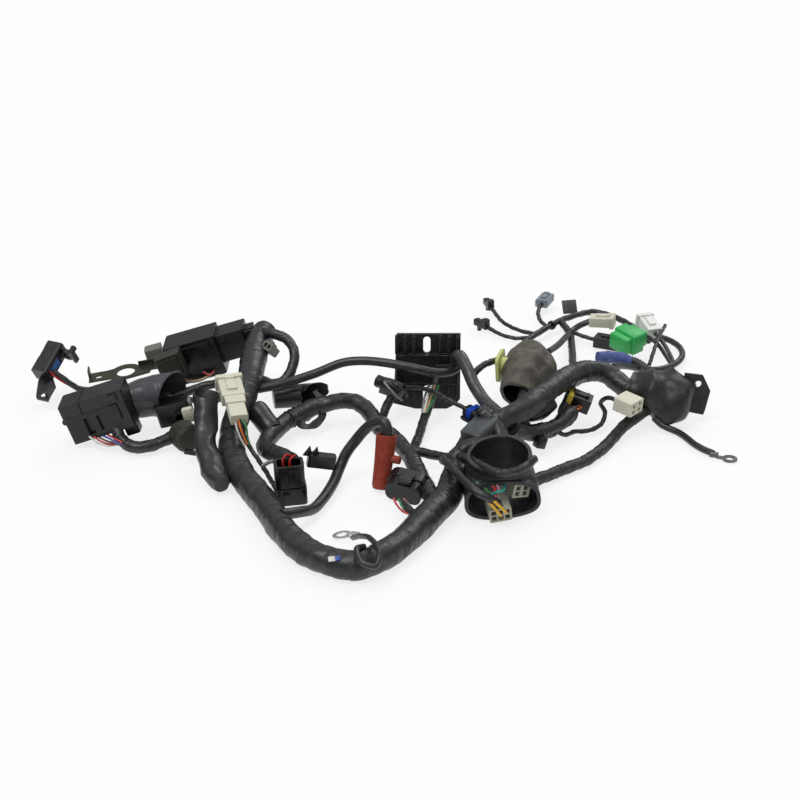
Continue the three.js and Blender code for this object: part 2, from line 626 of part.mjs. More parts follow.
// Elbow connectors and the slim blue-grey connector at the far end
function elbow() {
  return joined(moulded(7, 7, 17, [0, 0, 8.5]), moulded(7, 7, 8, [0, 2.5, 14], [90, 0, 0]), block(3, 8, 3, [0, -4, 5]))
    .subtract(block(4.4, 4.4, 12, [0, 0, 0]));
}
addRigid("upper_elbow", elbow(), blackNylon, along([88, 278, 12], [95, 250, 11]), grownBlock(7, 14, 17.5, [0, 0, 9]));
addRigid("lower_elbow", elbow(), blackNylon, along([76, 232, 8.4], [90, 214, 8.4]), grownBlock(7, 14, 17.5, [0, 0, 9]));
addConnector("slim_connector", finish(0x5e6b78, 0.5), [152, 290, 12], [142, 266, 12], 0,
  { width: 13, height: 8, length: 22, columns: 2, rows: 1, latch: true });

// Connectors in the upper right group
addConnector("cream_connector_right", finish(0xd9d8c4, 0.45), [210, 204, 20], [182, 212, 18], 0,
  { width: 14, height: 10, length: 24, columns: 3, rows: 1, lip: 1 });
addConnector("black_connector_right", blackNylon, [214, 176, 7.5], [188, 188, 7.5], 0,
  { width: 15, height: 11, length: 26, columns: 3, rows: 1 });
const greenConnector = joined(
  housing({ width: 26, height: 20, length: 22, columns: 3, rows: 2, radius: 2 }),
  moulded(20, 15, 8, [0, 0, 25]),
);
addRigid("green_connector", greenConnector, finish(0x3db15f, 0.4), along([206, 138, 24], [228, 156, 26], 6),
  grownBlock(26, 25, 29, [0, 2, 14.5]));
addConnector("clear_connector", finish(0xdfe0db, 0.35), [236, 188, 30], [246, 158, 22], 0,
  { width: 15, height: 11, length: 26, columns: 2, rows: 2, lip: 1 });

// Large dark boot lying on its side: open spout at the left, a flange with a hole at the right
const largeBootStations = [
  [258, 22, 22, 10, 30, 2.6],
  [250, 20, 24, 40, 42, 2.6],
  [238, 18, 25, 50, 46, 2.4],
  [224, 20, 27, 46, 40, 2.2],
  [212, 24, 29, 36, 32, 2],
  [203, 27, 30, 33, 28, 2],
];
const bootEar = new THREE.Shape();
bootEar.moveTo(-10, -12);
bootEar.lineTo(10, -16);
bootEar.lineTo(15, 6);
bootEar.lineTo(8, 20);
bootEar.lineTo(-8, 22);
bootEar.closePath();
bootEar.holes.push(new THREE.Path().absellipse(4, 12, 3.4, 2.6, 0, 2 * Math.PI, true, 0));
const earAt = place([258, 20, 24], [80, 0, 0]);
const largeBoot = openSkin(largeBootStations, bootWall).add(slab(bootEar, 3, earAt));
addSoft("large_boot", largeBoot, openSkin(largeBootStations, bootWall, false, gap), darkRubber);

// Four-pin cream connector and the connector with a band
const fourPin = housing({ width: 19, height: 13, length: 18, columns: 2, rows: 2, latch: false });
addRigid("four_pin_connector", fourPin, finish(0xcfcdbb, 0.45), along([204, -16, 30], [188, -2, 32], 0),
  grownBlock(19, 13, 18, [0, 0, 9]));
addConnector("banded_connector", blackNylon, [166, 2, 24], [148, 6, 30], 0,
  { width: 17, height: 13, length: 24, columns: 3, rows: 2 });

// Vinyl sleeves: left one from the fuse box, hanging one, open cable sleeve
const leftSleeveStations = [
  [-231, 0, 31, 24, 24, 2.4],
  [-222, 4, 31, leftSleeveWidth, leftSleeveHeight, 2.2],
  [-212, 10, 31, leftSleeveWidth, leftSleeveHeight, 2],
  [-200, 18, 32, leftSleeveWidth + 2, leftSleeveHeight + 5, 2],
];
addSoft("left_sleeve", openSkin(leftSleeveStations, sleeveWall, true),
  openSkin(leftSleeveStations, sleeveWall, true, gap), vinyl);

const hangingSleeveStations = [
  [-144, -120, 10, 14, 14, 2.4],
  [-149, -107, 10, hangingSleeveWidth, hangingSleeveHeight, 2.2],
  [-158, -84, 16, hangingSleeveWidth, hangingSleeveHeight, 2],
  [-163, -62, 25, hangingSleeveWidth - 2, hangingSleeveHeight - 3, 2],
  [-164, -46, 36, hangingSleeveWidth, hangingSleeveHeight, 2],
  [-165, -32, 51, hangingSleeveWidth + 1, hangingSleeveHeight + 2, 2],
];
addSoft("hanging_sleeve", openSkin(hangingSleeveStations, sleeveWall),
  skin(hangingSleeveStations, gap), vinyl);

const openSleeveStations = [
  [-112, 24, 20, openSleeveDiameter - 3, openSleeveDiameter - 3, 2],
  [-98, 27, 21, openSleeveDiameter, openSleeveDiameter, 2],
  [-85, 27, 22.5, openSleeveDiameter, openSleeveDiameter, 2],
  [-75, 23, 24.5, openSleeveDiameter + 2, openSleeveDiameter + 2, 2],
];
addSoft("open_sleeve", openSkin(openSleeveStations, sleeveWall),
  openSkin(openSleeveStations, sleeveWall, false, gap), vinyl);

const cappedEnd = skin([
  [-126, -10, 27, 16, 16, 2],
  [-123, -13, 25, 19, 19, 2],
  [-113, -26, 18, 19, 19, 2],
  [-109, -31, 15, 17, 17, 2],
]);
addSoft("capped_end", cappedEnd, cappedEnd, vinyl);

// Open rubber cover: a ring mouth on top, bending into a wide opening at the front that lies on the bench
const coverStations = [
  [79, -139, 48, 50, 54, 2],
  [79.5, -138, 38, 53, 50, 2],
  [80, -142, 24, 58, 46, 2.2],
  [80, -152, 19.5, 60, 38, 2.4],
  [81, -163, 18.5, 59, 33, 2.6],
];
addSoft("open_cover", openSkin(coverStations, coverWall, true),
  openSkin(coverStations, coverWall, true, gap), darkRubber);

// Bulb-socket boot: a dome with a spout that opens towards the front and down
const socketBootStations = [
  [132, 66, 42, 26, 22, 2],
  [126, 62, 40, 44, 40, 2],
  [118, 54, 37, 50, 46, 2],
  [111, 42, 33, 44, 42, 2],
  [106, 31, 28, 34, 34, 2],
  [103, 22, 24, 30, 30, 2],
];
addSoft("socket_boot", openSkin(socketBootStations, bootWall), openSkin(socketBootStations, bootWall, false, gap),
  finish(0x6e6a62, 0.8));

// Main trunk, with the splice box, the short branches and the twisted pair that are taped into it
const trunkRoute = [
  [-124, 91, 56], [-129, 59, 52], [-131, 20, 44], [-137, -12, 31], [-142, -37, 20], [-141, -67, 13.5],
  [-128, -110, 12], [-108, -153, 11.5], [-90, -198, 11.5], [-72, -229, 11.5], [-51, -245, 11.5], [-33, -250, 11.5],
  [-14, -238, 11.5], [6, -209, 11.5], [23, -176, 12], [37, -150, 14], [45, -122, 18], [54, -96, 24],
  [68, -66, 31], [82, -57, 36],
];
const rightArmRoute = [
  [68, -66, 31], [86, -54, 37], [105, -43, 42], [121, -24, 45], [142, 6, 46], [164, 34, 42],
  [183, 42, 37], [200, 29, 28], [216, 23, 25],
];
const spliceBoxTurn = [-75, 0, -38];
const spliceBoxPlace = laidOut([67, -79, 35]);
const spliceBox = moulded(20, 24, 30, spliceBoxPlace, spliceBoxTurn, 2);
const socketLeadRoute = [[114, 48, 36], [111, 30, 30], [107, 8, 30], [104, -18, 36], [103, -36, 40]];
const coverLeadRoute = [[35, -104, 24], [36, -120, 32], [48, -152, 34], [58, -172, 33], [68, -177, 29], [77, -171, 20]];
const collarRoute = [[11, -61, 12], [21, -67, 12], [31, -76, 14], [47, -93, 20]];
const sleeveLeadRoute = [[-207, 17, 22], [-192, 26, 24], [-174, 34, 28], [-156, 30, 33], [-140, 18, 40]];
const twistRoute = [[-134.5, -60, 41.5], [-132, -67, 33], [-126, -70, 20], [-116, -84, 12], [-106, -110, 10], [-99, -138, 14], [-95, -168, 16], [-94, -184, 16]];
const sockLeadRoute = [[3, -150, 9], [8, -163, 9], [14, -170, 10], [24, -174, 12]];
const trunkBranches = [
  [rightArmRoute, rightArmDiameter],
  [socketLeadRoute, shortBranchDiameter],
  [coverLeadRoute, coverLeadDiameter],
  [collarRoute, shortBranchDiameter],
  [sleeveLeadRoute, shortBranchDiameter],
  [twistRoute, thinLeadDiameter],
  [sockLeadRoute, coverLeadDiameter],
];
const trunk = joined(cord(trunkRoute, trunkDiameter), spliceBox, ...trunkBranches.map(([p, d]) => cord(p, d)));
const trunkKeepOut = joined(
  cord(trunkRoute, trunkDiameter, 1.1 * gap),
  moulded(20 + 2 * gap, 24 + 2 * gap, 30 + 2 * gap, spliceBoxPlace, spliceBoxTurn, 2),
  ...trunkBranches.map(([p, d]) => cord(p, d, 1.1 * gap)),
);
addSoft("main_trunk", trunk, trunkKeepOut, tape);

// Branches and hoses, laid in the order in which they cross
const upperBranchRoute = [
  [-71, 4, 22], [-61, 7, 24], [-51, 11, 24], [-39, 13, 22], [-28, 1, 19], [-17, -23, 14],
  [-5, -40, 12], [7, -67, 11], [16, -105, 11], [26, -150, 12],
];
addCord("upper_branch", tape, [upperBranchRoute, upperBranchDiameter]);

const dropBranchRoute = [[-84, 2, 16], [-98, -11, 15], [-109, -33, 14], [-114, -54, 14], [-110, -74, 18], [-98, -96, 24], [-88, -118, 30]];
addCord("drop_branch", tape, [dropBranchRoute, dropBranchDiameter]);

const bootHoseRoute = [
  [-92, -188, 20], [-78, -173, 14], [-69, -157, 8], [-61, -136, 7], [-54, -113, 9], [-49, -96, 15],
  [-44, -90, 24], [-36, -86, 34], [-29, -86, 43], [-21, -89, 51], [-13, -94, 54], [-10.4, -98.6, 47.6], [-12, -102.3, 35.5],
];
addCord("boot_hose", vinyl, [bootHoseRoute, bootHoseDiameter]);

const loopRoute = [
  [-128, 84, 58], [-120, 72, 63], [-111, 66, 64], [-101, 61, 61], [-95, 52, 56], [-94, 43, 49],
  [-97, 35, 41], [-103, 29, 35], [-113, 27, 33], [-124, 26, 38],
];
addCord("loop_branch", tape, [loopRoute, loopDiameter]);

const conduitRoute = [
  [-124, 10, 36], [-107, 14, 38], [-76, 24, 44], [-51, 30, 52], [-35, 30, 54], [-13, 26, 54],
  [10, 20, 52], [32, 18, 48], [43, 24, 46], [50, 33, 46],
];
addCord("smooth_conduit", vinyl, [conduitRoute, conduitDiameter]);

const archRoute = [
  [50, 45, 44], [50, 38, 54], [53, 28, 59], [58, 16, 54], [64, 2, 44], [72, -12, 36], [79, -28, 35], [85, -46, 37],
];
addCord("hose_arch", finish(0x6d6e72, 0.45), [archRoute, archHoseDiameter]);

const plateBundleRoute = [[33, 41, 32], [31, 31, 26], [25, 14, 16], [20, -4, 10], [17, -22, 8], [13, -40, 7]];
const flatBranchRoute = [[-8, 22, 22], [-14, 8, 14], [-16, -4, 10], [-13, -20, 8]];
addCord("plate_leads", tape, [plateBundleRoute, plateLeadDiameter]);
addCord("plate_connector_lead", tape, [flatBranchRoute, plateLeadDiameter]);

const sealedLeadRoute = [[4, 26, 30], [14, 22, 32], [30, 10, 33], [44, -2, 30], [60, -13.5, 26]];
addCord("sealed_lead", tape, [sealedLeadRoute, thinLeadDiameter]);

const ringLeadRoute = [
  [-36, -203, 8], [-29, -222, 20], [-22, -240, 28], [-15, -260, 28], [-18, -270, 22], [-28, -268, 24],
  [-32, -254, 27], [-27, -241, 22],
];
addCord("ring_lead", vinyl, [ringLeadRoute, ringLeadDiameter]);

const rearRoute = [
  [60, 30, 34], [72, 44, 42], [86, 62, 40], [94, 92, 26], [104, 130, 14], [116, 168, 9], [128, 190, 9],
  [143, 209, 10], [156, 224, 11], [177, 240, 12], [195, 250, 11], [212, 242, 10], [228, 218, 10], [236, 198, 10], [240, 179, 10],
];
const blackConnectorLead = [[192, 186, 7.5], [182, 192, 8], [170, 199, 10]];
const upperElbowLead = [[92, 262, 11.4], [96, 249, 10], [101, 232, 9], [110, 218, 8], [122, 206, 8], [134, 198, 9]];
const lowerElbowLead = [[84, 222, 8.4], [91, 213, 7], [101, 202, 6], [114, 194, 6], [130, 192, 8]];
const slimLead = [[144.5, 272, 12], [141, 262, 10.5], [139, 250, 10], [140, 232, 9], [145, 214, 10]];
const rearDrop = [[160, 228, 10], [166, 200, 9], [164, 150, 12], [160, 100, 20], [160, 60, 34]];
const rightConnectorLead = [[136, 96, 34], [148, 130, 26], [160, 170, 18], [168, 200, 11], [178, 209, 14], [190, 209.8, 18.6]];
addCord("rear_bundle", tape, [rearRoute, rearBundleDiameter], [rightConnectorLead, rearBundleDiameter], [blackConnectorLead, thinLeadDiameter], [upperElbowLead, thinLeadDiameter],
  [lowerElbowLead, thinLeadDiameter], [slimLead, thinLeadDiameter], [rearDrop, rearDropDiameter]);

const hoseLoopRoute = [
  [240, 178, 10], [249, 188, 10], [260, 184, 9], [269, 168, 8], [268, 144, 8], [256, 124, 8],
  [240, 110, 10], [224, 98, 16], [206, 82, 26], [192, 62, 34],
];
const greenLead = [[226, 154, 26], [236, 156, 24], [246, 148, 18], [252, 134, 12], [256, 124, 8]];
const clearLead = [[243, 167, 24.5], [251, 150, 19], [256, 138, 12], [258, 127, 8]];
addCord("hose_loop", vinyl, [hoseLoopRoute, hoseLoopDiameter], [greenLead, thinLeadDiameter], [clearLead, thinLeadDiameter]);

const thinLoopRoute = [
  [134, -28, 14], [142, -26, 9], [151, -16, 7], [165, -11, 6], [176, -2, 8], [180, 8, 14], [176, 10, 22], [180, 4, 30], [192, -5.5, 31.6],
];
const bandLeadRoute = [[149, 6, 30], [142, -4, 24], [138, -20, 16], [128, -34, 14], [114, -38, 18], [104, -34, 26]];
const knotRoute = [[103, -55, 22], [113, -42, 19], [125, -33, 18], [139, -21, 19], [149, -9, 22]];
addCord("side_leads", tape, [bandLeadRoute, shortBranchDiameter], [thinLoopRoute, thinLeadDiameter], [knotRoute, knotDiameter]);

const floorRoute = [
  [108, -112, 9], [124, -96, 7], [142, -81, 6.5], [157, -68, 6.5], [172, -48, 6.5], [184, -28, 8],
  [196, -10, 11], [210, 2, 15], [222, 10, 20],
];
addCord("floor_branch", tape, [floorRoute, floorBranchDiameter]);

const groundRoute = [[222, 2, 12], [230, -4, 7], [241, -12, 5], [248, -24, 4.5], [252, -34, 4.5], [258, -44, 4.5], [266, -52, 4]];
addCord("ground_lead", vinyl, [groundRoute, groundLeadDiameter]);

const fuseTubeRoute = [[-243, -31, 17], [-238, -39, 11], [-228, -46, 7.5], [-213, -45, 8], [-203, -39, 9], [-194, -32, 11]];
addCord("fuse_box_tube", tape, [fuseTubeRoute, fuseTubeDiameter]);

const clipLeadRoute = [[-314, 64.5, 28.5], [-304, 62, 22], [-292, 62, 13], [-277, 64, 9], [-262, 62, 8], [-240, 56, 9], [-215, 50, 11],
  [-190, 44, 10], [-166, 30, 15], [-148, 14, 30], [-138, 8, 36]];
addCord("clip_fuse_lead", tape, [clipLeadRoute, clipLeadDiameter]);

harness.children.forEach((mesh) => mesh.position.add(new THREE.Vector3(...frameShift)));

export default harness;
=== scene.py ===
"""A motorcycle's main wiring harness, lying in a loose heap as it came off the machine.

The routes are in millimetres of the bench layout, and placed() brings them into the part's frame in metres.
"""

import logging
import math
from collections.abc import Callable, Sequence
from dataclasses import dataclass, field
from enum import Enum

import bmesh
import bpy
from mathutils import Matrix, Vector, noise


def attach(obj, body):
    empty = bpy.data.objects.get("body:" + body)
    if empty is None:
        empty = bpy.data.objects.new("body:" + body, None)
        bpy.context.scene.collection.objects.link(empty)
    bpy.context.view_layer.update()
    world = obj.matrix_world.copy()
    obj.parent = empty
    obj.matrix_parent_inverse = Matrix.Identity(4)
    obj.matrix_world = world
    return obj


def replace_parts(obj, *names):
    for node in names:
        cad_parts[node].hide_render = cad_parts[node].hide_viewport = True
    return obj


log = logging.getLogger("wiring_harness")

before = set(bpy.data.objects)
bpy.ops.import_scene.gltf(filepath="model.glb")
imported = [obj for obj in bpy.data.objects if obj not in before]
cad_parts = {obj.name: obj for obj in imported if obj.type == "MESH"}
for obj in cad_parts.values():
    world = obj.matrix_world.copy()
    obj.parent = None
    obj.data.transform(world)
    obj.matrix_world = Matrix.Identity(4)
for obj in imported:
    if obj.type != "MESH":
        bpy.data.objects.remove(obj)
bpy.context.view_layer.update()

MM = 0.001
BENCH_SHIFT = (25.5, -10.0, -0.2)

PLASTIC_IOR = 1.53
WIRE_SIDES = 7
SHORTEST_CORD_MM = 30.0

Point = tuple[float, float, float]
Route = Sequence[Point]


class FarEnd(Enum):
    """What a free cord has on its far end."""

    CONNECTOR = "connector"
    FITTING = "fitting"
    BARE = "bare"
    HARNESS = "object"


class Stiffness(Enum):
    """How a cord takes a bend."""

    LIMP = "limp"
    MEDIUM = "medium"
    STIFF = "stiff"


def linear(colour: str) -> tuple[float, float, float, float]:
    """Turn an sRGB hex colour to linear light.

    Args:
        colour: The colour as "#rrggbb".

    Returns:
        Red, green, blue and an alpha of 1.
    """
    parts = [int(colour[i : i + 2], 16) / 255 for i in (1, 3, 5)]
    red, green, blue = (p / 12.92 if p <= 0.04045 else ((p + 0.055) / 1.055) ** 2.4 for p in parts)
    return (red, green, blue, 1.0)


def per_mm(size: float) -> float:
    """A noise scale, in turns per metre, whose grains are that many millimetres across."""
    return 1000.0 / size


def placed(point: Sequence[float]) -> Vector:
    """A bench point in millimetres, as a place in the part's frame in metres."""
    return Vector([(p + s) * MM for p, s in zip(point, BENCH_SHIFT)])


def pose(position: Point, turn: Point = (0.0, 0.0, 0.0)) -> Matrix:
    """A piece's own frame.

    Args:
        position: Where it is on the bench, in millimetres.
        turn: Its turns about X, Y and Z in degrees, made in that order.

    Returns:
        The matrix from the piece's millimetres to the part's frame in metres.
    """
    x, y, z = (math.radians(a) for a in turn)
    spin = Matrix.Rotation(z, 4, "Z") @ Matrix.Rotation(y, 4, "Y") @ Matrix.Rotation(x, 4, "X")
    return Matrix.Translation(placed(position)) @ spin @ Matrix.Scale(MM, 4)


def along(start: Point, end: Point, roll: float = 0.0) -> Matrix:
    """A frame whose +Z runs from one bench point towards another, with +X level.

    Args:
        start: The frame's origin, in millimetres.
        end: A point on its +Z side.
        roll: A turn about +Z, in degrees.

    Returns:
        The matrix from the piece's millimetres to the part's frame in metres.
    """
    z = (Vector(end) - Vector(start)).normalized()
    level = Vector((0, 0, 1)).cross(z)
    x = (Vector((1, 0, 0)) if level.length < 0.05 else level).normalized()
    y = z.cross(x)
    basis = Matrix((x, y, z)).transposed().to_4x4()
    turned = basis @ Matrix.Rotation(math.radians(roll), 4, "Z")
    return Matrix.Translation(placed(start)) @ turned @ Matrix.Scale(MM, 4)


def add_node(
    tree: bpy.types.NodeTree, kind: str, inputs: dict[str | int, object] | None = None, **settings: object
) -> bpy.types.Node:
    """Add a node with its settings and links.

    Args:
        tree: The node tree that it goes into.
        kind: The node's type.
        inputs: A value or another node's output for each named or numbered socket.
        **settings: The node's own settings.

    Returns:
        The new node.
    """
    made = tree.nodes.new(kind)
    for name, value in settings.items():
        setattr(made, name, value)
    for socket, value in (inputs or {}).items():
        if isinstance(value, bpy.types.NodeSocket):
            tree.links.new(value, made.inputs[socket])
        else:
            made.inputs[socket].default_value = value
    return made


class MaterialTree:
    """The node tree of one material under construction."""

    def __init__(self, name: str) -> None:
        """Start a material of that name with a plain surface shader."""
        self.material = bpy.data.materials.new(name)
        self.material.use_nodes = True
        self.tree = self.material.node_tree
        self.tree.nodes.clear()
        self.shader = self.add("ShaderNodeBsdfPrincipled")
        self.add("ShaderNodeOutputMaterial", {"Surface": self.shader.outputs[0]})

    def add(self, kind: str, inputs: dict[str | int, object] | None = None, **settings: object) -> bpy.types.Node:
        """Add a node to this material."""
        return add_node(self.tree, kind, inputs, **settings)

    def maths(self, operation: str, *values: bpy.types.NodeSocket | float) -> bpy.types.NodeSocket:
        """The result of one sum on one or two values."""
        return self.add("ShaderNodeMath", dict(enumerate(values)), operation=operation).outputs[0]

    def rounded(self, radius_mm: float) -> bpy.types.NodeSocket:
        """A normal that rounds each sharp edge by that radius in millimetres."""
        return self.add("ShaderNodeBevel", {"Radius": radius_mm * MM}, samples=4).outputs[0]

    def bump(
        self,
        height: bpy.types.NodeSocket,
        strength: float,
        depth_mm: float,
        under: bpy.types.NodeSocket | None = None,
    ) -> bpy.types.NodeSocket:
        """A normal bumped by a height.

        Args:
            height: The height, from 0 to 1.
            strength: How much of the bump is felt.
            depth_mm: How deep it is, in millimetres.
            under: The normal that it lies over, where that isn't the mesh's own.

        Returns:
            The bumped normal.
        """
        inputs = {"Strength": strength, "Distance": depth_mm * MM, "Height": height}
        if under is not None:
            inputs["Normal"] = under
        return self.add("ShaderNodeBump", inputs).outputs[0]

    def surface(self, inputs: dict[str, object]) -> bpy.types.Material:
        """Set the surface shader's sockets and return the finished material."""
        for socket, value in inputs.items():
            if isinstance(value, bpy.types.NodeSocket):
                self.tree.links.new(value, self.shader.inputs[socket])
            else:
                self.shader.inputs[socket].default_value = value
        return self.material

    def grain(self, size: float, detail: float = 2.0) -> bpy.types.NodeSocket:
        """A solid grain of that size in millimetres, from 0 to 1."""
        place = self.add("ShaderNodeTexCoord")
        settings = {"Vector": place.outputs["Object"], "Scale": per_mm(size), "Detail": detail}
        return self.add("ShaderNodeTexNoise", settings).outputs[0]

    def spread(
        self, value: bpy.types.NodeSocket, low: float, high: float, start: float = 0.3, end: float = 0.7
    ) -> bpy.types.NodeSocket:
        """A value between start and end, spread from low to high."""
        limits = {"Value": value, "From Min": start, "From Max": end, "To Min": low, "To Max": high}
        return self.add("ShaderNodeMapRange", limits).outputs[0]

    def blended(
        self, share: bpy.types.NodeSocket, first: str | bpy.types.NodeSocket, second: str
    ) -> bpy.types.NodeSocket:
        """One colour running into another by a share from 0 to 1."""
        colours = {0: share, 6: linear(first) if isinstance(first, str) else first, 7: linear(second)}
        return self.add("ShaderNodeMix", colours, data_type="RGBA").outputs[2]


@dataclass(frozen=True)
class Finish:
    """What each finish has: its name, the name of its slot, its colour and how rough it is."""

    name: str
    slot: str
    colour: str
    roughness: float

    def material(self) -> bpy.types.Material:
        """The finish's material, made the first time it is asked for."""
        return bpy.data.materials.get(self.name) or self.make(MaterialTree(self.name))

    def make(self, tree: MaterialTree) -> bpy.types.Material:
        """The finish's own nodes."""
        raise NotImplementedError


@dataclass(frozen=True)
class WoundTape(Finish):
    """Soft PVC harness tape, wound by hand with a half overlap.

    The eye sees a proud slanting edge at each turn, and a stretched film that creases and shines in patches.
    """

    dusty: str = "#5a5b5e"
    pitch_mm: float = 13.0
    crease_mm: float = 9.0
    twist_mm: float = 60.0
    lap: float = 0.14

    def make(self, tree: MaterialTree) -> bpy.types.Material:
        """Slanting overlaps, creases round the bundle and dust, from the tube's own length and turn."""
        uv = tree.add("ShaderNodeUVMap", uv_map="UVMap")
        place = tree.add("ShaderNodeSeparateXYZ", {0: uv.outputs[0]}).outputs
        run, turn = place[0], place[1]
        swing = tree.maths("ADD", turn, tree.maths("MULTIPLY", run, per_mm(self.twist_mm)))
        angle = tree.maths("MULTIPLY", swing, math.tau)
        reach = tree.maths("MULTIPLY", run, per_mm(self.crease_mm))
        round_place = {0: tree.maths("COSINE", angle), 1: tree.maths("SINE", angle), 2: reach}
        wrapped = tree.add("ShaderNodeCombineXYZ", round_place).outputs[0]
        stretched = {"Vector": wrapped, "Scale": 1.1, "Detail": 2.0, "Distortion": 0.5}
        creases = tree.add("ShaderNodeTexNoise", stretched).outputs[0]
        slant = tree.maths("ADD", tree.maths("MULTIPLY", run, per_mm(self.pitch_mm)), turn)
        winding = tree.maths("ADD", slant, tree.spread(tree.grain(11), -0.35, 0.35))
        overlap = tree.spread(tree.maths("FRACT", winding), 0.0, 1.0, 0.0, self.lap)
        dust = tree.spread(tree.grain(7, 5), 0.0, 0.5, 0.45, 0.8)
        return tree.surface({
            "Base Color": tree.blended(dust, self.colour, self.dusty),
            "Roughness": tree.spread(creases, self.roughness - 0.04, self.roughness + 0.12),
            "Normal": tree.bump(creases, 0.45, 1.3, tree.bump(overlap, 0.55, 0.5)),
            "IOR": PLASTIC_IOR,
        })


@dataclass(frozen=True)
class SoftVinyl(Finish):
    """Soft PVC tubing, extruded and then handled: a smooth dull shine with shallow dents and a film of dust."""

    dusty: str = "#66686b"
    dent_mm: float = 14.0

    def make(self, tree: MaterialTree) -> bpy.types.Material:
        """Broad dents under a fine matt skin."""
        dents = tree.bump(tree.grain(self.dent_mm, 3), 0.5, 1.2)
        dust = tree.spread(tree.grain(9, 6), 0.0, 0.5, 0.45, 0.8)
        return tree.surface({
            "Base Color": tree.blended(dust, self.colour, self.dusty),
            "Roughness": tree.spread(tree.grain(5, 3), self.roughness - 0.06, self.roughness + 0.14),
            "Normal": tree.bump(tree.grain(0.9, 2), 0.25, 0.06, dents),
            "IOR": PLASTIC_IOR,
        })


@dataclass(frozen=True)
class MouldedNylon(Finish):
    """Nylon 66, injection moulded: an even colour, a fine spark-eroded grain and edges that catch a little light."""

    worn: str = "#55565a"
    edge_mm: float = 0.7
    clearness: float = 0.0

    def make(self, tree: MaterialTree) -> bpy.types.Material:
        """Rounded edges over a fine grain, with scuffs."""
        scuffs = tree.spread(tree.grain(4, 6), 0.0, 0.35, 0.5, 0.85)
        return tree.surface({
            "Base Color": tree.blended(scuffs, self.colour, self.worn),
            "Roughness": tree.spread(tree.grain(6, 3), self.roughness - 0.05, self.roughness + 0.12),
            "Normal": tree.bump(tree.grain(0.6, 2), 0.35, 0.08, tree.rounded(self.edge_mm)),
            "IOR": PLASTIC_IOR,
            "Specular IOR Level": 0.42,
            "Subsurface Weight": self.clearness,
            "Subsurface Radius": (0.004, 0.004, 0.003),
            "Subsurface Scale": 0.5,
        })


@dataclass(frozen=True)
class MouldedRubber(Finish):
    """EPDM rubber, compression moulded: a dead matt skin that holds dust in its low places."""

    dusty: str = "#77736a"

    def make(self, tree: MaterialTree) -> bpy.types.Material:
        """A dusty matt skin with shallow folds."""
        folds = tree.bump(tree.grain(12, 3), 0.45, 1.4)
        dust = tree.spread(tree.grain(5, 5), 0.0, 0.55, 0.38, 0.78)
        return tree.surface({
            "Base Color": tree.blended(dust, self.colour, self.dusty),
            "Roughness": self.roughness,
            "Normal": tree.bump(tree.grain(1.2, 4), 0.5, 0.15, folds),
            "IOR": 1.5,
            "Specular IOR Level": 0.4,
        })


@dataclass(frozen=True)
class PlatedMetal(Finish):
    """Sheet steel or brass with a plated coat: soft rolled streaks, dulled where it was handled."""

    stained: str = "#5c5b50"
    metallic: float = 1.0
    # The colour of a painted highlight along the edges, where one is given.
    painted_edge_highlight: str = ""

    def make(self, tree: MaterialTree) -> bpy.types.Material:
        """Stains and fine rolling marks under rounded edges, with a painted highlight that lightens the edges where
        one is given.
        """
        edge = tree.rounded(0.4)
        colour = tree.blended(tree.spread(tree.grain(6, 5), 0.0, 0.9, 0.4, 0.75), self.colour, self.stained)
        # Painted highlight: the edges, where the rounded normal turns away from the flat face, are painted a lighter
        # colour.
        if self.painted_edge_highlight:
            flat = tree.add("ShaderNodeNewGeometry").outputs["True Normal"]
            match = tree.add("ShaderNodeVectorMath", {0: edge, 1: flat}, operation="DOT_PRODUCT")
            colour = tree.blended(tree.spread(match.outputs["Value"], 1.0, 0.0, 0.8, 0.985), colour, self.painted_edge_highlight)
        return tree.surface({
            "Base Color": colour,
            "Metallic": self.metallic,
            "Roughness": tree.spread(tree.grain(3, 4), self.roughness - 0.08, self.roughness + 0.15),
            "Normal": tree.bump(tree.grain(1.5, 5), 0.3, 0.1, edge),
        })


@dataclass(frozen=True)
class WireInsulation(Finish):
    """Thin-wall PVC wire insulation, extruded: a clean saturated colour with a soft shine."""

    def make(self, tree: MaterialTree) -> bpy.types.Material:
        """A smooth wall with grime here and there."""
        grime = tree.spread(tree.grain(3, 4), 0.0, 0.45, 0.5, 0.8)
        return tree.surface({
            "Base Color": tree.blended(grime, self.colour, "#4a4844"),
            "Roughness": self.roughness,
            "Normal": tree.bump(tree.grain(2, 2), 0.2, 0.1),
            "IOR": PLASTIC_IOR,
        })


TAPE = WoundTape("wound_pvc_tape", "tape", "#1c1e20", 0.34, "#3c3e41", 13.0, 12.0)
ROUGH_TAPE = WoundTape("dusty_wound_pvc_tape", "tape", "#1d1d1d", 0.46, "#4c4a47", 10.0, 7.0)
SMOOTH_TAPE = WoundTape("tight_wound_pvc_tape", "tape", "#1b1c1e", 0.36, "#3a3b3e", 11.0, 8.0)
BLUE_TAPE = WoundTape("faded_blue_pvc_tape", "tape", "#3f4f8f", 0.5, "#7d86ad", 8.0, 3.0)
TUBING = SoftVinyl("black_pvc_tubing", "vinyl", "#1d1f21", 0.32, "#3f4144")
GREY_TUBING = SoftVinyl("grey_pvc_tubing", "grey_vinyl", "#35363a", 0.34, "#58595c")
GREY_SLEEVING = SoftVinyl("grey_pvc_sleeving", "vinyl", "#33363a", 0.3, "#52565b", 16.0)
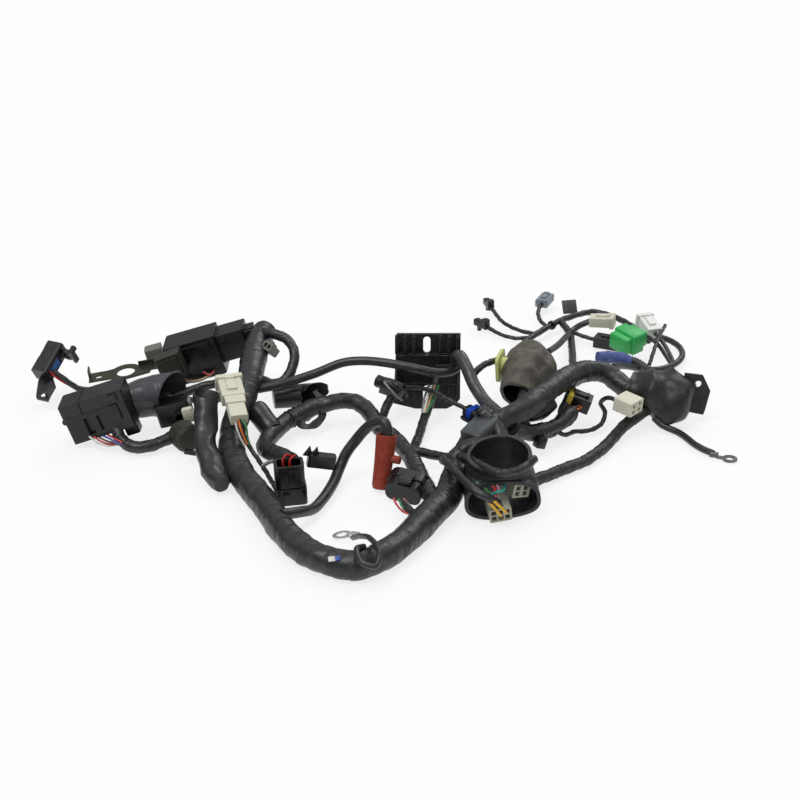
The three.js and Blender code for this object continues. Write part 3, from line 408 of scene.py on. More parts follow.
# The inside wall of a sleeve: the same PVC painted near black, as painted shade.
SHADED_INSIDE = SoftVinyl("shaded_pvc_inside", "vinyl", "#08090a", 0.55, "#141516", 12.0)
SLEEVING = SoftVinyl("black_pvc_sleeving", "vinyl", "#1c1e21", 0.3, "#3b3e42", 16.0)
TORN_SLEEVING = SoftVinyl("torn_grey_pvc_sleeving", "vinyl", "#2f3134", 0.42, "#8d9092", 4.0)
BLACK_NYLON = MouldedNylon("black_moulded_nylon", "black_nylon", "#0b0c0d", 0.28, "#2a2b2e")
CHARCOAL_NYLON = MouldedNylon("charcoal_moulded_nylon", "charcoal_nylon", "#16161a", 0.26, "#39383f")
OLIVE_NYLON = MouldedNylon("olive_moulded_nylon", "olive_nylon", "#26271f", 0.5, "#48483c")
GREY_NYLON = MouldedNylon("grey_moulded_nylon", "grey_nylon", "#6a6b62", 0.5, "#88887d")
CREAM_NYLON = MouldedNylon("natural_moulded_nylon", "cream_nylon", "#d3d1bf", 0.4, "#b7b39c", clearness=0.25)
CLEAR_NYLON = MouldedNylon("clear_moulded_nylon", "clear_nylon", "#dfe1dc", 0.3, "#c4c7c1", clearness=0.5)
GREEN_NYLON = MouldedNylon("green_moulded_nylon", "green_nylon", "#2bab54", 0.34, "#45b565")
BLUE_GREY_NYLON = MouldedNylon("blue_grey_moulded_nylon", "blue_grey_nylon", "#7a838c", 0.42, "#9ba3aa")
AGED_NYLON = MouldedNylon("aged_moulded_nylon", "grey_nylon", "#a3a293", 0.42, "#84836f")
YELLOW_BAND = MouldedNylon("yellow_band_nylon", "yellow_plastic", "#c8ae35", 0.45, "#a48f3a")
FLAT_TAPE = SoftVinyl("flat_laid_pvc_tape", "tape", "#3a3d40", 0.42, "#72777b", 12.0)
FUSE_BLUE = MouldedNylon("blue_fuse_body", "blue_fuse", "#1f5fae", 0.35, "#2b6cc0")
BLUE_SILICONE = MouldedNylon("blue_silicone_seal", "blue_silicone", "#1f57cf", 0.4, "#2f6ae0")
YELLOW_PLASTIC = MouldedNylon("pale_yellow_plastic", "yellow_plastic", "#c6cc7e", 0.45, "#a9a868")
DARK_RUBBER = MouldedRubber("dark_moulded_rubber", "dark_rubber", "#1b1a18", 0.4, "#3b3833")
COVER_RUBBER = MouldedRubber("grey_black_rubber", "dark_rubber", "#232527", 0.4, "#3b3d3f")
TAUPE_RUBBER = MouldedRubber("dusty_taupe_rubber", "taupe_rubber", "#514e47", 0.6, "#807b70")
RED_RUBBER = MouldedRubber("red_brown_rubber", "red_rubber", "#8a3020", 0.6, "#a8523c")
BRACKET_STEEL = PlatedMetal("zinc_plated_steel", "bracket_steel", "#57564d", 0.5, "#3d3c35")
# The casting's last colour is a painted highlight along its edges.
CAST_BLACK = PlatedMetal("black_coated_casting", "cast_black", "#0d0e0f", 0.32, "#1d1f21", 0.2, "#8c8e90")
TINNED_BRASS = PlatedMetal("tinned_brass", "tinned_brass", "#d2d2ca", 0.36, "#a5a49a")
EARTH_STEEL = PlatedMetal("tin_plated_steel", "tinned_brass", "#6f706d", 0.4, "#454440")

RED_WIRE = WireInsulation("red_wire_insulation", "red_rubber", "#b5221c", 0.4)
WHITE_WIRE = WireInsulation("white_wire_insulation", "cream_nylon", "#d9d9d2", 0.4)
BLUE_WIRE = WireInsulation("blue_wire_insulation", "blue_fuse", "#2b4f9e", 0.4)
BROWN_WIRE = WireInsulation("brown_wire_insulation", "red_rubber", "#5e3420", 0.4)
GREEN_WIRE = WireInsulation("green_wire_insulation", "green_nylon", "#2c7d46", 0.4)
YELLOW_WIRE = WireInsulation("yellow_wire_insulation", "yellow_plastic", "#d9a821", 0.4)
ORANGE_WIRE = WireInsulation("orange_wire_insulation", "yellow_plastic", "#cf6a1e", 0.4)
TAN_WIRE = WireInsulation("tan_wire_insulation", "yellow_plastic", "#b49a6c", 0.4)
TEAL_WIRE = WireInsulation("teal_wire_insulation", "green_nylon", "#2a9c8f", 0.4)
PINK_WIRE = WireInsulation("pink_wire_insulation", "red_rubber", "#c4788a", 0.4)
GREY_WIRE = WireInsulation("grey_wire_insulation", "grey_nylon", "#7d7f82", 0.4)
BLACK_WIRE = WireInsulation("black_wire_insulation", "black_nylon", "#1c1d1f", 0.35)


class Line:
    """A smooth line through given bench points, cut into even strides."""

    def __init__(self, route: Route, stride_mm: float = 1.6) -> None:
        """Run a centripetal spline through the route and cut it evenly.

        Args:
            route: The points in millimetres of the bench layout.
            stride_mm: How far apart the line's own points are.
        """
        dense = self._spline([placed(p) for p in route])
        reach = [0.0]
        for a, b in zip(dense, dense[1:]):
            reach.append(reach[-1] + (b - a).length)
        self.length = reach[-1]
        count = max(8, round(self.length / (stride_mm * MM)))
        self.points = [self._cut(dense, reach, self.length * i / count) for i in range(count + 1)]
        self.ahead = [
            (self.points[min(i + 1, count)] - self.points[max(i - 1, 0)]).normalized() for i in range(count + 1)
        ]

    @staticmethod
    def _spline(points: list[Vector]) -> list[Vector]:
        """The centripetal spline through the points, as a dense run of places."""
        ends = [points[0] * 2 - points[1], *points, points[-1] * 2 - points[-2]]
        dense = []
        for a, b, c, d in zip(ends, ends[1:], ends[2:], ends[3:]):
            first, middle, last = (max((q - p).length ** 0.5, 1e-4) for p, q in ((a, b), (b, c), (c, d)))
            leave = ((b - a) / first - (c - a) / (first + middle) + (c - b) / middle) * middle
            arrive = ((c - b) / middle - (d - b) / (middle + last) + (d - c) / last) * middle
            for step in range(24):
                t = step / 24
                start, turn = 2 * t**3 - 3 * t**2 + 1, t**3 - 2 * t**2 + t
                dense.append(b * start + leave * turn + c * (1 - start) + arrive * (t**3 - t**2))
        return [*dense, points[-1]]

    @staticmethod
    def _cut(dense: list[Vector], reach: list[float], distance: float) -> Vector:
        """The place at that distance along the dense run."""
        for i in range(1, len(reach)):
            if reach[i] >= distance:
                step = reach[i] - reach[i - 1] or 1.0
                return dense[i - 1].lerp(dense[i], (distance - reach[i - 1]) / step)
        return dense[-1].copy()

    def sides(self) -> list[tuple[Vector, Vector]]:
        """Two directions across the line at each of its points, carried along without a twist."""
        level = Vector((0, 0, 1)).cross(self.ahead[0])
        side = (Vector((1, 0, 0)) if level.length < 0.2 else level).normalized()
        pairs = []
        for ahead in self.ahead:
            side = (side - ahead * side.dot(ahead)).normalized()
            pairs.append((side.copy(), ahead.cross(side)))
        return pairs


class Shape:
    """A mesh under construction, in metres, with a material slot for each finish on it."""

    def __init__(self, name: str) -> None:
        """Start an empty mesh for a piece of that name."""
        self.name = name
        self.mesh = bmesh.new()
        self.uv = self.mesh.loops.layers.uv.new("UVMap")
        self.finishes: list[Finish] = []

    def _slot(self, finish: Finish) -> int:
        """The number of the finish's slot, which is added if it is new."""
        if finish not in self.finishes:
            self.finishes.append(finish)
        return self.finishes.index(finish)

    def face(
        self,
        corners: Sequence[bmesh.types.BMVert],
        finish: Finish,
        uvs: Sequence[tuple[float, float]] | None = None,
    ) -> None:
        """Add a face of that finish, with its place along and round the piece where it has one."""
        made = self.mesh.faces.new(corners)
        made.material_index = self._slot(finish)
        made.smooth = True
        for loop, place in zip(made.loops, uvs or ()):
            loop[self.uv].uv = place

    def rings(
        self,
        rings: Sequence[Sequence[Vector]],
        finish: Finish,
        distances: Sequence[float],
        caps: tuple[bool, bool] = (True, True),
    ) -> None:
        """Join closed rings of points into a skin.

        Args:
            rings: The rings, each with as many points as the rest.
            finish: The skin's finish.
            distances: How far along the piece each ring is, in metres.
            caps: Whether the first and the last ring are closed.
        """
        rows = [[self.mesh.verts.new(p) for p in ring] for ring in rings]
        count = len(rows[0])
        for i in range(len(rows) - 1):
            for k in range(count):
                n = (k + 1) % count
                u, w, v, x = distances[i], distances[i + 1], k / count, (k + 1) / count
                corners = (rows[i][k], rows[i][n], rows[i + 1][n], rows[i + 1][k])
                self.face(corners, finish, ((u, v), (u, x), (w, x), (w, v)))
        if caps[0]:
            self.face(rows[0][::-1], finish, [(distances[0], 0.5)] * count)
        if caps[1]:
            self.face(rows[-1], finish, [(distances[-1], 0.5)] * count)

    def tube(
        self,
        line: Line,
        radius_mm: float,
        finish: Finish,
        sides: int,
        bulge: Callable[[float, float], float] | None = None,
    ) -> None:
        """Carry a round section along a line.

        Args:
            line: The line it follows.
            radius_mm: Its radius.
            finish: Its finish.
            sides: How many sides the section has.
            bulge: How proud the skin stands, in millimetres, at a distance in millimetres and an angle.
        """
        rings = []
        step = line.length / (len(line.points) - 1)
        for i, (centre, (side, rise)) in enumerate(zip(line.points, line.sides())):
            ring = []
            for k in range(sides):
                angle = math.tau * k / sides
                radius = radius_mm + (bulge(i * step / MM, angle) if bulge else 0.0)
                ring.append(centre + (side * math.cos(angle) + rise * math.sin(angle)) * radius * MM)
            rings.append(ring)
        self.rings(rings, finish, [i * step for i in range(len(rings))])

    def strand(self, route: Route, radius_mm: float, finish: Finish) -> None:
        """A bare wire along a route."""
        self.tube(Line(route, max(1.2, 1.5 * radius_mm)), radius_mm, finish, WIRE_SIDES)

    def lump(self, size: Point, place: Matrix, finish: Finish, bevel: float, segments: int = 2) -> None:
        """A block with rounded edges.

        Args:
            size: Its size in millimetres.
            place: The frame it is centred in, from millimetres to the part's frame.
            finish: Its finish.
            bevel: The radius of its edges, in millimetres.
            segments: How many steps each edge is rounded in.
        """
        before = set(self.mesh.faces)
        made = bmesh.ops.create_cube(self.mesh, size=1.0, calc_uvs=False)["verts"]
        for vert in made:
            vert.co = Vector([c * s for c, s in zip(vert.co, size)])
        edges = list({edge for vert in made for edge in vert.link_edges})
        bmesh.ops.bevel(self.mesh, geom=edges, offset=bevel, segments=segments, profile=0.5, affect="EDGES")
        fresh = [f for f in self.mesh.faces if f not in before]
        bmesh.ops.transform(self.mesh, matrix=place, verts=list({v for f in fresh for v in f.verts}))
        for made_face in fresh:
            made_face.material_index = self._slot(finish)
            made_face.smooth = True

    def ribbon(self, route: Route, width_mm: float, finish: Finish, ragged: float, thick_mm: float) -> None:
        """A flat strip along a route.

        Args:
            route: The points in millimetres of the bench layout.
            width_mm: Its width.
            finish: Its finish.
            ragged: How far its torn edges wander, in millimetres.
            thick_mm: Its thickness.
        """
        line = Line(route, 1.0)
        rings = []
        for centre, (side, rise) in zip(line.points, line.sides()):
            tear = ragged * noise.noise(centre * per_mm(6))
            across, proud = side * (width_mm / 2 + tear) * MM, rise * thick_mm * MM / 2
            corners = ((1, 1), (-1, 1), (-1, -1), (1, -1))
            rings.append([centre + across * a + proud * b for a, b in corners])
        step = line.length / (len(rings) - 1)
        self.rings(rings, finish, [i * step for i in range(len(rings))])

    def plate(
        self,
        outline: Sequence[tuple[float, float]],
        hole: Point,
        thick_mm: float,
        place: Matrix,
        finish: Finish,
    ) -> None:
        """A flat plate with a round hole in it, standing from z = 0 of its frame.

        Args:
            outline: Its corners in millimetres, all of them in sight of the hole.
            hole: The hole's x, y and radius.
            thick_mm: Its thickness.
            place: The frame it lies in.
            finish: Its finish.
        """
        centre, radius = Vector(hole[:2]), hole[2]
        inner, outer = [], []
        ways, tiny = 64, 1e-6
        for k in range(ways):
            way = Vector((math.cos(math.tau * k / ways), math.sin(math.tau * k / ways)))
            reaches = []
            for a, b in zip(outline, [*outline[1:], outline[0]]):
                start, side = Vector(a) - centre, Vector(b) - Vector(a)
                slope = way.cross(side)
                if abs(slope) <= tiny:
                    continue
                if -tiny <= start.cross(way) / slope <= 1 + tiny and start.cross(side) / slope > 0:
                    reaches.append(start.cross(side) / slope)
            inner.append(centre + way * radius)
            outer.append(centre + way * min(reaches))
        layers = ((inner, 0.0), (outer, 0.0), (outer, thick_mm), (inner, thick_mm), (inner, 0.0))
        rings = [[place @ Vector((spot.x, spot.y, z)) for spot in ring] for ring, z in layers]
        self.rings(rings, finish, [0.0, 0.01, 0.013, 0.023, 0.026], (False, False))

    def lathe(self, profile: Sequence[tuple[float, float]], place: Matrix, finish: Finish, sides: int = 32) -> None:
        """Turn a profile of radius and height, in millimetres, about a frame's +Z."""
        rings = []
        for radius, height in profile:
            turns = [math.tau * k / sides for k in range(sides)]
            rings.append([place @ Vector((radius * math.cos(a), radius * math.sin(a), height)) for a in turns])
        self.rings(rings, finish, [height * MM for _, height in profile])

    def done(self, smooth_deg: float = 40.0) -> bpy.types.Object:
        """Turn the mesh into an object that rides on the harness.

        Args:
            smooth_deg: Edges sharper than this stay sharp.

        Returns:
            The new object.
        """
        bmesh.ops.remove_doubles(self.mesh, verts=self.mesh.verts, dist=1e-7)
        bmesh.ops.recalc_face_normals(self.mesh, faces=self.mesh.faces)
        data = bpy.data.meshes.new(self.name)
        self.mesh.to_mesh(data)
        self.mesh.free()
        for finish in self.finishes:
            data.materials.append(finish.material())
        data.set_sharp_from_angle(angle=math.radians(smooth_deg))
        made = bpy.data.objects.new(self.name, data)
        bpy.context.collection.objects.link(made)
        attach(made, "root")
        log.info("%s: %d faces", self.name, len(data.polygons))
        return made


@dataclass(frozen=True)
class Cord:
    """A free cord, hose or taped bundle of the harness.

    The tape laps every lap_mm, creases every crease_mm and is gathered into wrinkles here and there.
    """

    name: str
    route: Route
    diameter: float
    finish: Finish
    node: str = ""
    far_end: FarEnd = FarEnd.HARNESS
    carries: tuple[str, ...] = ()
    stiffness: Stiffness = Stiffness.MEDIUM
    lumps: float = 0.05
    layers: float = 0.5
    sides: int = 16
    lap_mm: float = 12.0
    crease_mm: float = 9.0
    gather_mm: float = 30.0
    wrinkle_mm: float = 4.6

    def skin(self, distance: float, angle: float) -> float:
        """How proud the cord's skin stands, in millimetres, where its wires bunch and its tape overlaps."""
        seed = sum(ord(letter) for letter in self.name) * 0.37
        across, beside = math.cos(angle), math.sin(angle)
        bunch = noise.noise(Vector((across * 0.8 + seed, beside * 0.8, distance / (1.3 * self.diameter))))
        crease = noise.noise(Vector((across * 1.4, beside * 1.4 + seed, distance / self.crease_mm)))
        turn = (distance / self.lap_mm + angle / math.tau + 0.5 * bunch) % 1.0
        gathered = max(0.0, noise.noise(Vector((seed, 0.5, distance / self.gather_mm))) - 0.2)
        wrinkle = gathered * math.sin(math.tau * distance / self.wrinkle_mm + 2.5 * bunch)
        proud = self.diameter * self.lumps * (bunch + 0.5 * crease + 1.1 * wrinkle)
        return proud + self.layers * (0.5 - turn)

    def build(self) -> bpy.types.Object:
        """Returns:
            The cord's object.
        """
        line = Line(self.route, 1.3 if self.diameter > 5 else 1.0)
        shape = Shape(self.name)
        shape.tube(line, self.diameter / 2, self.finish, self.sides, self.skin)
        made = shape.done(60)
        if self.node:
            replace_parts(made, self.node)
        if line.length < max(SHORTEST_CORD_MM, 6 * self.diameter) * MM:
            return made
        return made


@dataclass(frozen=True)
class Looms:
    """Every cord, hose and taped bundle of the harness, with its diameter in millimetres."""

    trunk: float = 22.5
    right_arm: float = 19.0
    upper: float = 14.0
    drop: float = 15.0
    arch: float = 11.0
    floor: float = 10.0
    fuse_tube: float = 10.5
    hose: float = 9.0
    short: float = 8.0
    thin: float = 4.0

    def cords(self) -> list[Cord]:
        """The cords in the order in which they are laid."""
        loose, stiff = Stiffness.LIMP, Stiffness.STIFF
        return [
            Cord("trunk_loom", (
                (-124, 91, 56), (-129, 59, 52), (-131, 20, 44), (-137, -12, 31), (-142, -37, 20), (-141, -67, 13.5),
                (-128, -110, 12), (-108, -153, 11.5), (-90, -198, 11.5), (-72, -229, 11.5), (-51, -245, 11.5),
                (-33, -250, 11.5), (-14, -238, 11.5), (6, -209, 11.5), (23, -176, 12), (37, -150, 14), (45, -122, 18),
                (54, -96, 24), (68, -66, 31), (82, -57, 36),
            ), self.trunk, TAPE, "main_trunk", stiffness=stiff, sides=40),
            Cord("right_arm_loom", (
                (68, -66, 31), (86, -54, 37), (105, -43, 42), (121, -24, 45), (142, 6, 46), (164, 34, 42),
                (183, 42, 37), (200, 29, 28), (216, 23, 25),
            ), self.right_arm, TAPE, "main_trunk", stiffness=stiff, lumps=0.06, sides=36),
            Cord("bulb_socket_lead", (
                (114, 48, 36), (111, 30, 30), (107, 8, 30), (104, -18, 36), (103, -36, 40),
            ), self.short, TAPE, "main_trunk"),
            Cord("cover_lead", (
                (35, -104, 24), (36, -120, 32), (48, -152, 34), (58, -172, 33), (68, -177, 29), (77, -171, 20),
            ), 7, SMOOTH_TAPE, "main_trunk"),
            Cord("left_sleeve_lead", (
                (-207, 17, 22), (-192, 26, 24), (-174, 34, 28), (-156, 30, 33), (-140, 18, 40),
            ), self.short, TAPE, "main_trunk"),
            Cord("cream_connector_lead", (
                (-134.5, -60, 41.5), (-132, -67, 33), (-126, -70, 20), (-116, -84, 12), (-106, -110, 10),
                (-99, -138, 14), (-95, -168, 16), (-94, -184, 16),
            ), self.thin, SMOOTH_TAPE, "main_trunk", stiffness=loose, lumps=0.08),
            Cord("upper_branch_loom", (
                (-71, 4, 22), (-61, 7, 24), (-51, 11, 24), (-39, 13, 22), (-28, 1, 19), (-17, -23, 14),
                (-5, -40, 12), (7, -67, 11), (16, -105, 11), (26, -150, 12),
            ), self.upper, TAPE, "upper_branch", sides=28),
            Cord("drop_branch_loom", (
                (-84, 2, 16), (-98, -11, 15), (-109, -33, 14), (-114, -54, 14), (-110, -74, 18), (-98, -96, 24),
                (-88, -118, 30),
            ), self.drop, TAPE, "drop_branch", sides=28),
            Cord("boot_hose_tube", (
                (-92, -188, 20), (-78, -173, 14), (-69, -157, 8), (-61, -136, 7), (-54, -113, 9), (-49, -96, 15),
                (-44, -90, 24), (-36, -86, 34), (-29, -86, 43), (-21, -89, 51), (-13, -94, 54), (-10.4, -98.6, 47.6),
                (-12, -102.3, 35.5),
            ), self.hose, TUBING, "boot_hose", FarEnd.FITTING, ("red_boot",), lumps=0.012, layers=0.0, sides=20),
            Cord("loop_branch_loom", (
                (-128, 84, 58), (-120, 72, 63), (-111, 66, 64), (-101, 61, 61), (-95, 52, 56), (-94, 43, 49),
                (-97, 35, 41), (-103, 29, 35), (-113, 27, 33), (-124, 26, 38),
            ), self.hose, TAPE, "loop_branch", sides=20),
            Cord("smooth_conduit_tube", (
                (-124, 10, 36), (-107, 14, 38), (-76, 24, 44), (-51, 30, 52), (-35, 30, 54), (-13, 26, 54),
                (10, 20, 52), (32, 18, 48), (43, 24, 46), (50, 33, 46),
            ), self.short, TUBING, "smooth_conduit", stiffness=stiff, lumps=0.01, layers=0.0, sides=20),
            Cord("hose_arch_tube", (
                (50, 45, 44), (50, 38, 54), (53, 28, 59), (58, 16, 54), (64, 2, 44), (72, -12, 36), (79, -28, 35),
                (85, -46, 37),
            ), self.arch, GREY_TUBING, "hose_arch", stiffness=stiff, lumps=0.01, layers=0.0, sides=24),
            Cord("plate_leads_tube", (
                (33, 41, 32), (31, 31, 26), (25, 14, 16), (20, -4, 10), (17, -22, 8), (13, -40, 7),
            ), self.short, SMOOTH_TAPE, "plate_leads"),
            Cord("plate_connector_tube", (
                (-8, 22, 22), (-14, 8, 14), (-16, -4, 10), (-13, -20, 8),
            ), self.short, SMOOTH_TAPE, "plate_connector_lead"),
            Cord("sealed_connector_lead", (
                (4, 26, 30), (14, 22, 32), (30, 10, 33), (44, -2, 30), (60, -13.5, 26),
            ), self.thin, SMOOTH_TAPE, "sealed_lead", FarEnd.CONNECTOR, ("sealed_connector", "blue_seal"), loose),
            Cord("ring_terminal_lead", (
                (-36, -203, 8), (-29, -222, 20), (-22, -240, 28), (-15, -260, 28), (-18, -270, 22), (-28, -268, 24),
                (-32, -254, 27), (-27, -241, 22),
            ), 4.5, TUBING, "ring_lead", stiffness=loose, lumps=0.02, layers=0.0, sides=14),
            Cord("rear_loom", (
                (60, 30, 34), (72, 44, 42), (86, 62, 40), (94, 92, 26), (104, 130, 14), (116, 168, 9), (128, 190, 9),
                (143, 209, 10), (156, 224, 11), (177, 240, 12), (195, 250, 11), (212, 242, 10), (228, 218, 10),
                (236, 198, 10), (240, 179, 10),
            ), 6, TAPE, "rear_bundle"),
            Cord("right_connector_lead", (
                (136, 96, 34), (148, 130, 26), (160, 170, 18), (168, 200, 11), (178, 209, 14), (190, 209.8, 18.6),
            ), 6, TUBING, "rear_bundle", FarEnd.CONNECTOR, ("cream_connector_right",), lumps=0.02, layers=0.0),
            Cord("upper_elbow_lead", (
                (134, 198, 9), (122, 206, 8), (110, 218, 8), (101, 232, 9), (96, 249, 10), (92, 262, 11.4),
            ), self.thin, SMOOTH_TAPE, "rear_bundle", FarEnd.CONNECTOR, ("upper_elbow",), loose),
            Cord("lower_elbow_lead", (
                (130, 192, 8), (114, 194, 6), (101, 202, 6), (91, 213, 7), (84, 222, 8.4),
            ), self.thin, SMOOTH_TAPE, "rear_bundle", FarEnd.CONNECTOR, ("lower_elbow",), loose),
            Cord("slim_connector_lead", (
                (145, 214, 10), (140, 232, 9), (139, 250, 10), (141, 262, 10.5), (144.5, 272, 12),
            ), self.thin, SMOOTH_TAPE, "rear_bundle", FarEnd.CONNECTOR, ("slim_connector",), loose),
            Cord("rear_drop_loom", (
                (160, 228, 10), (166, 200, 9), (164, 150, 12), (160, 100, 20), (160, 60, 34),
            ), 7, TAPE, "rear_bundle"),
            Cord("hose_loop_tube", (
                (240, 178, 10), (249, 188, 10), (260, 184, 9), (269, 168, 8), (268, 144, 8), (256, 124, 8),
                (240, 110, 10), (224, 98, 16), (206, 82, 26), (192, 62, 34),
            ), 6, TUBING, "hose_loop", lumps=0.015, layers=0.0),
            Cord("green_connector_lead", (
                (256, 124, 8), (252, 134, 12), (246, 148, 18), (236, 156, 24), (226, 154, 26),
            ), self.thin, TUBING, "hose_loop", FarEnd.CONNECTOR, ("green_connector",), loose, 0.02, 0.0, 12),
            Cord("clear_connector_lead", (
                (258, 127, 8), (256, 138, 12), (251, 150, 19), (243, 167, 24.5),
            ), self.thin, GREY_TUBING, "hose_loop", FarEnd.CONNECTOR, ("clear_connector",), loose, 0.02, 0.0, 12),
            Cord("banded_connector_lead", (
                (104, -34, 26), (114, -38, 18), (128, -34, 14), (138, -20, 16), (142, -4, 24), (149, 6, 30),
            ), self.short, TAPE, "side_leads", FarEnd.CONNECTOR, ("banded_connector",)),
            Cord("four_pin_lead", (
                (134, -28, 14), (142, -26, 9), (151, -16, 7), (165, -11, 6), (176, -2, 8), (180, 8, 14),
                (176, 10, 22), (180, 4, 30), (192, -5.5, 31.6),
            ), self.thin, SMOOTH_TAPE, "side_leads", FarEnd.CONNECTOR, ("four_pin_connector",), loose),
            Cord("floor_branch_loom", (
                (108, -112, 9), (124, -96, 7), (142, -81, 6.5), (157, -68, 6.5), (172, -48, 6.5), (184, -28, 8),
                (196, -10, 11), (210, 2, 15), (222, 10, 20),
            ), self.floor, ROUGH_TAPE, "floor_branch", lumps=0.06, sides=22),
            Cord("ground_lead_tube", (
                (222, 2, 12), (230, -4, 7), (241, -12, 5), (248, -24, 4.5), (252, -34, 4.5), (258, -44, 4.5),
                (266, -52, 4),
            ), 6, TUBING, "ground_lead", FarEnd.CONNECTOR, ("ground_ring",), lumps=0.02, layers=0.0),
            Cord("fuse_box_loom", (
                (-243, -31, 17), (-238, -39, 11), (-228, -46, 7.5), (-213, -45, 8), (-203, -39, 9), (-194, -32, 11),
            ), self.fuse_tube, TAPE, "fuse_box_tube", sides=22),
            Cord("clip_fuse_loom", (
                (-138, 8, 36), (-148, 14, 30), (-166, 30, 15), (-190, 44, 10), (-215, 50, 11), (-240, 56, 9),
                (-262, 62, 8), (-277, 64, 9), (-292, 62, 13), (-304, 62, 22), (-314, 64.5, 28.5),
            ), 5.5, TAPE, "clip_fuse_lead", FarEnd.CONNECTOR, ("clip_fuse_holder", "blue_fuse")),
            Cord("branch_collar", (
                (11, -61, 12), (21, -67, 12), (31, -76, 14), (47, -93, 20),
            ), self.short, TAPE, "main_trunk"),
            Cord("oval_connector_sock", (
                (3, -150, 9), (8, -163, 9), (14, -170, 10), (24, -174, 12),
            ), 7, SMOOTH_TAPE, "main_trunk"),
            Cord("black_connector_lead", (
                (192, 186, 7.5), (182, 192, 8), (170, 199, 10),
            ), self.thin, SMOOTH_TAPE, "rear_bundle"),
            Cord("side_knot", (
                (94, -57, 31), (103, -49, 23), (113, -42, 19), (125, -33, 18), (139, -21, 19), (149, -9, 22),
            ), 14, TAPE, "side_leads", lumps=0.15, sides=28),
            Cord("junction_wrap_upper", (
                (44, -106, 27), (54, -102, 34), (66, -100, 36), (76, -101, 33),
            ), 15, TAPE, lumps=0.1, sides=28),
            Cord("junction_wrap_lower", (
                (44, -124, 20), (55, -120, 28), (66, -114, 29),
            ), 13, TAPE, lumps=0.1, sides=28),
            Cord("branch_wrap", (
                (-96, -9, 15), (-86, 0, 17), (-76, 4, 21), (-64, 7, 23.5),
            ), 15, TAPE, lumps=0.08, sides=28),
            Cord("splice_box_drape", (
                (66, -66, 50), (77, -74, 44), (84, -84, 34), (86, -92, 24),
            ), 13, TAPE, lumps=0.12, sides=28),
            Cord("blue_taped_joint", (
                (182, 90, 30), (192, 95, 29), (203, 99, 26), (210, 101, 22),
            ), 12, BLUE_TAPE, lumps=0.08, sides=24),
            Cord("plate_connector_wrap", (
                (-20, 30, 35), (-10, 24, 34), (2, 20, 31),
            ), 11, TAPE, lumps=0.1, sides=24),
            Cord("sleeve_bundle", (
                (-218, 8, 30), (-207, 9, 28), (-198, 0, 24),
            ), 12, TAPE, lumps=0.1, sides=24),
            Cord("cover_drape_lead", (
                (46, -104, 28), (54, -128, 38), (64, -152, 44), (78, -169, 46), (93, -167, 48), (106, -152, 50),
            ), 7, SMOOTH_TAPE, lumps=0.08),
            Cord("thin_sleeved_end", (
                (232, 108, 16), (238, 126, 22), (246, 150, 26), (257, 186, 23),
            ), 3.5, SMOOTH_TAPE, far_end=FarEnd.BARE, stiffness=loose),
            Cord("socket_lead_root", (
                (106, -30, 30), (118, -22, 28), (131, -8, 30),
            ), 13, TAPE, lumps=0.1, sides=24),
        ]

    def build(self) -> None:
        """Build each cord."""
        for cord in self.cords():
            cord.build()


Station = tuple[float, float, float, float, float, float]


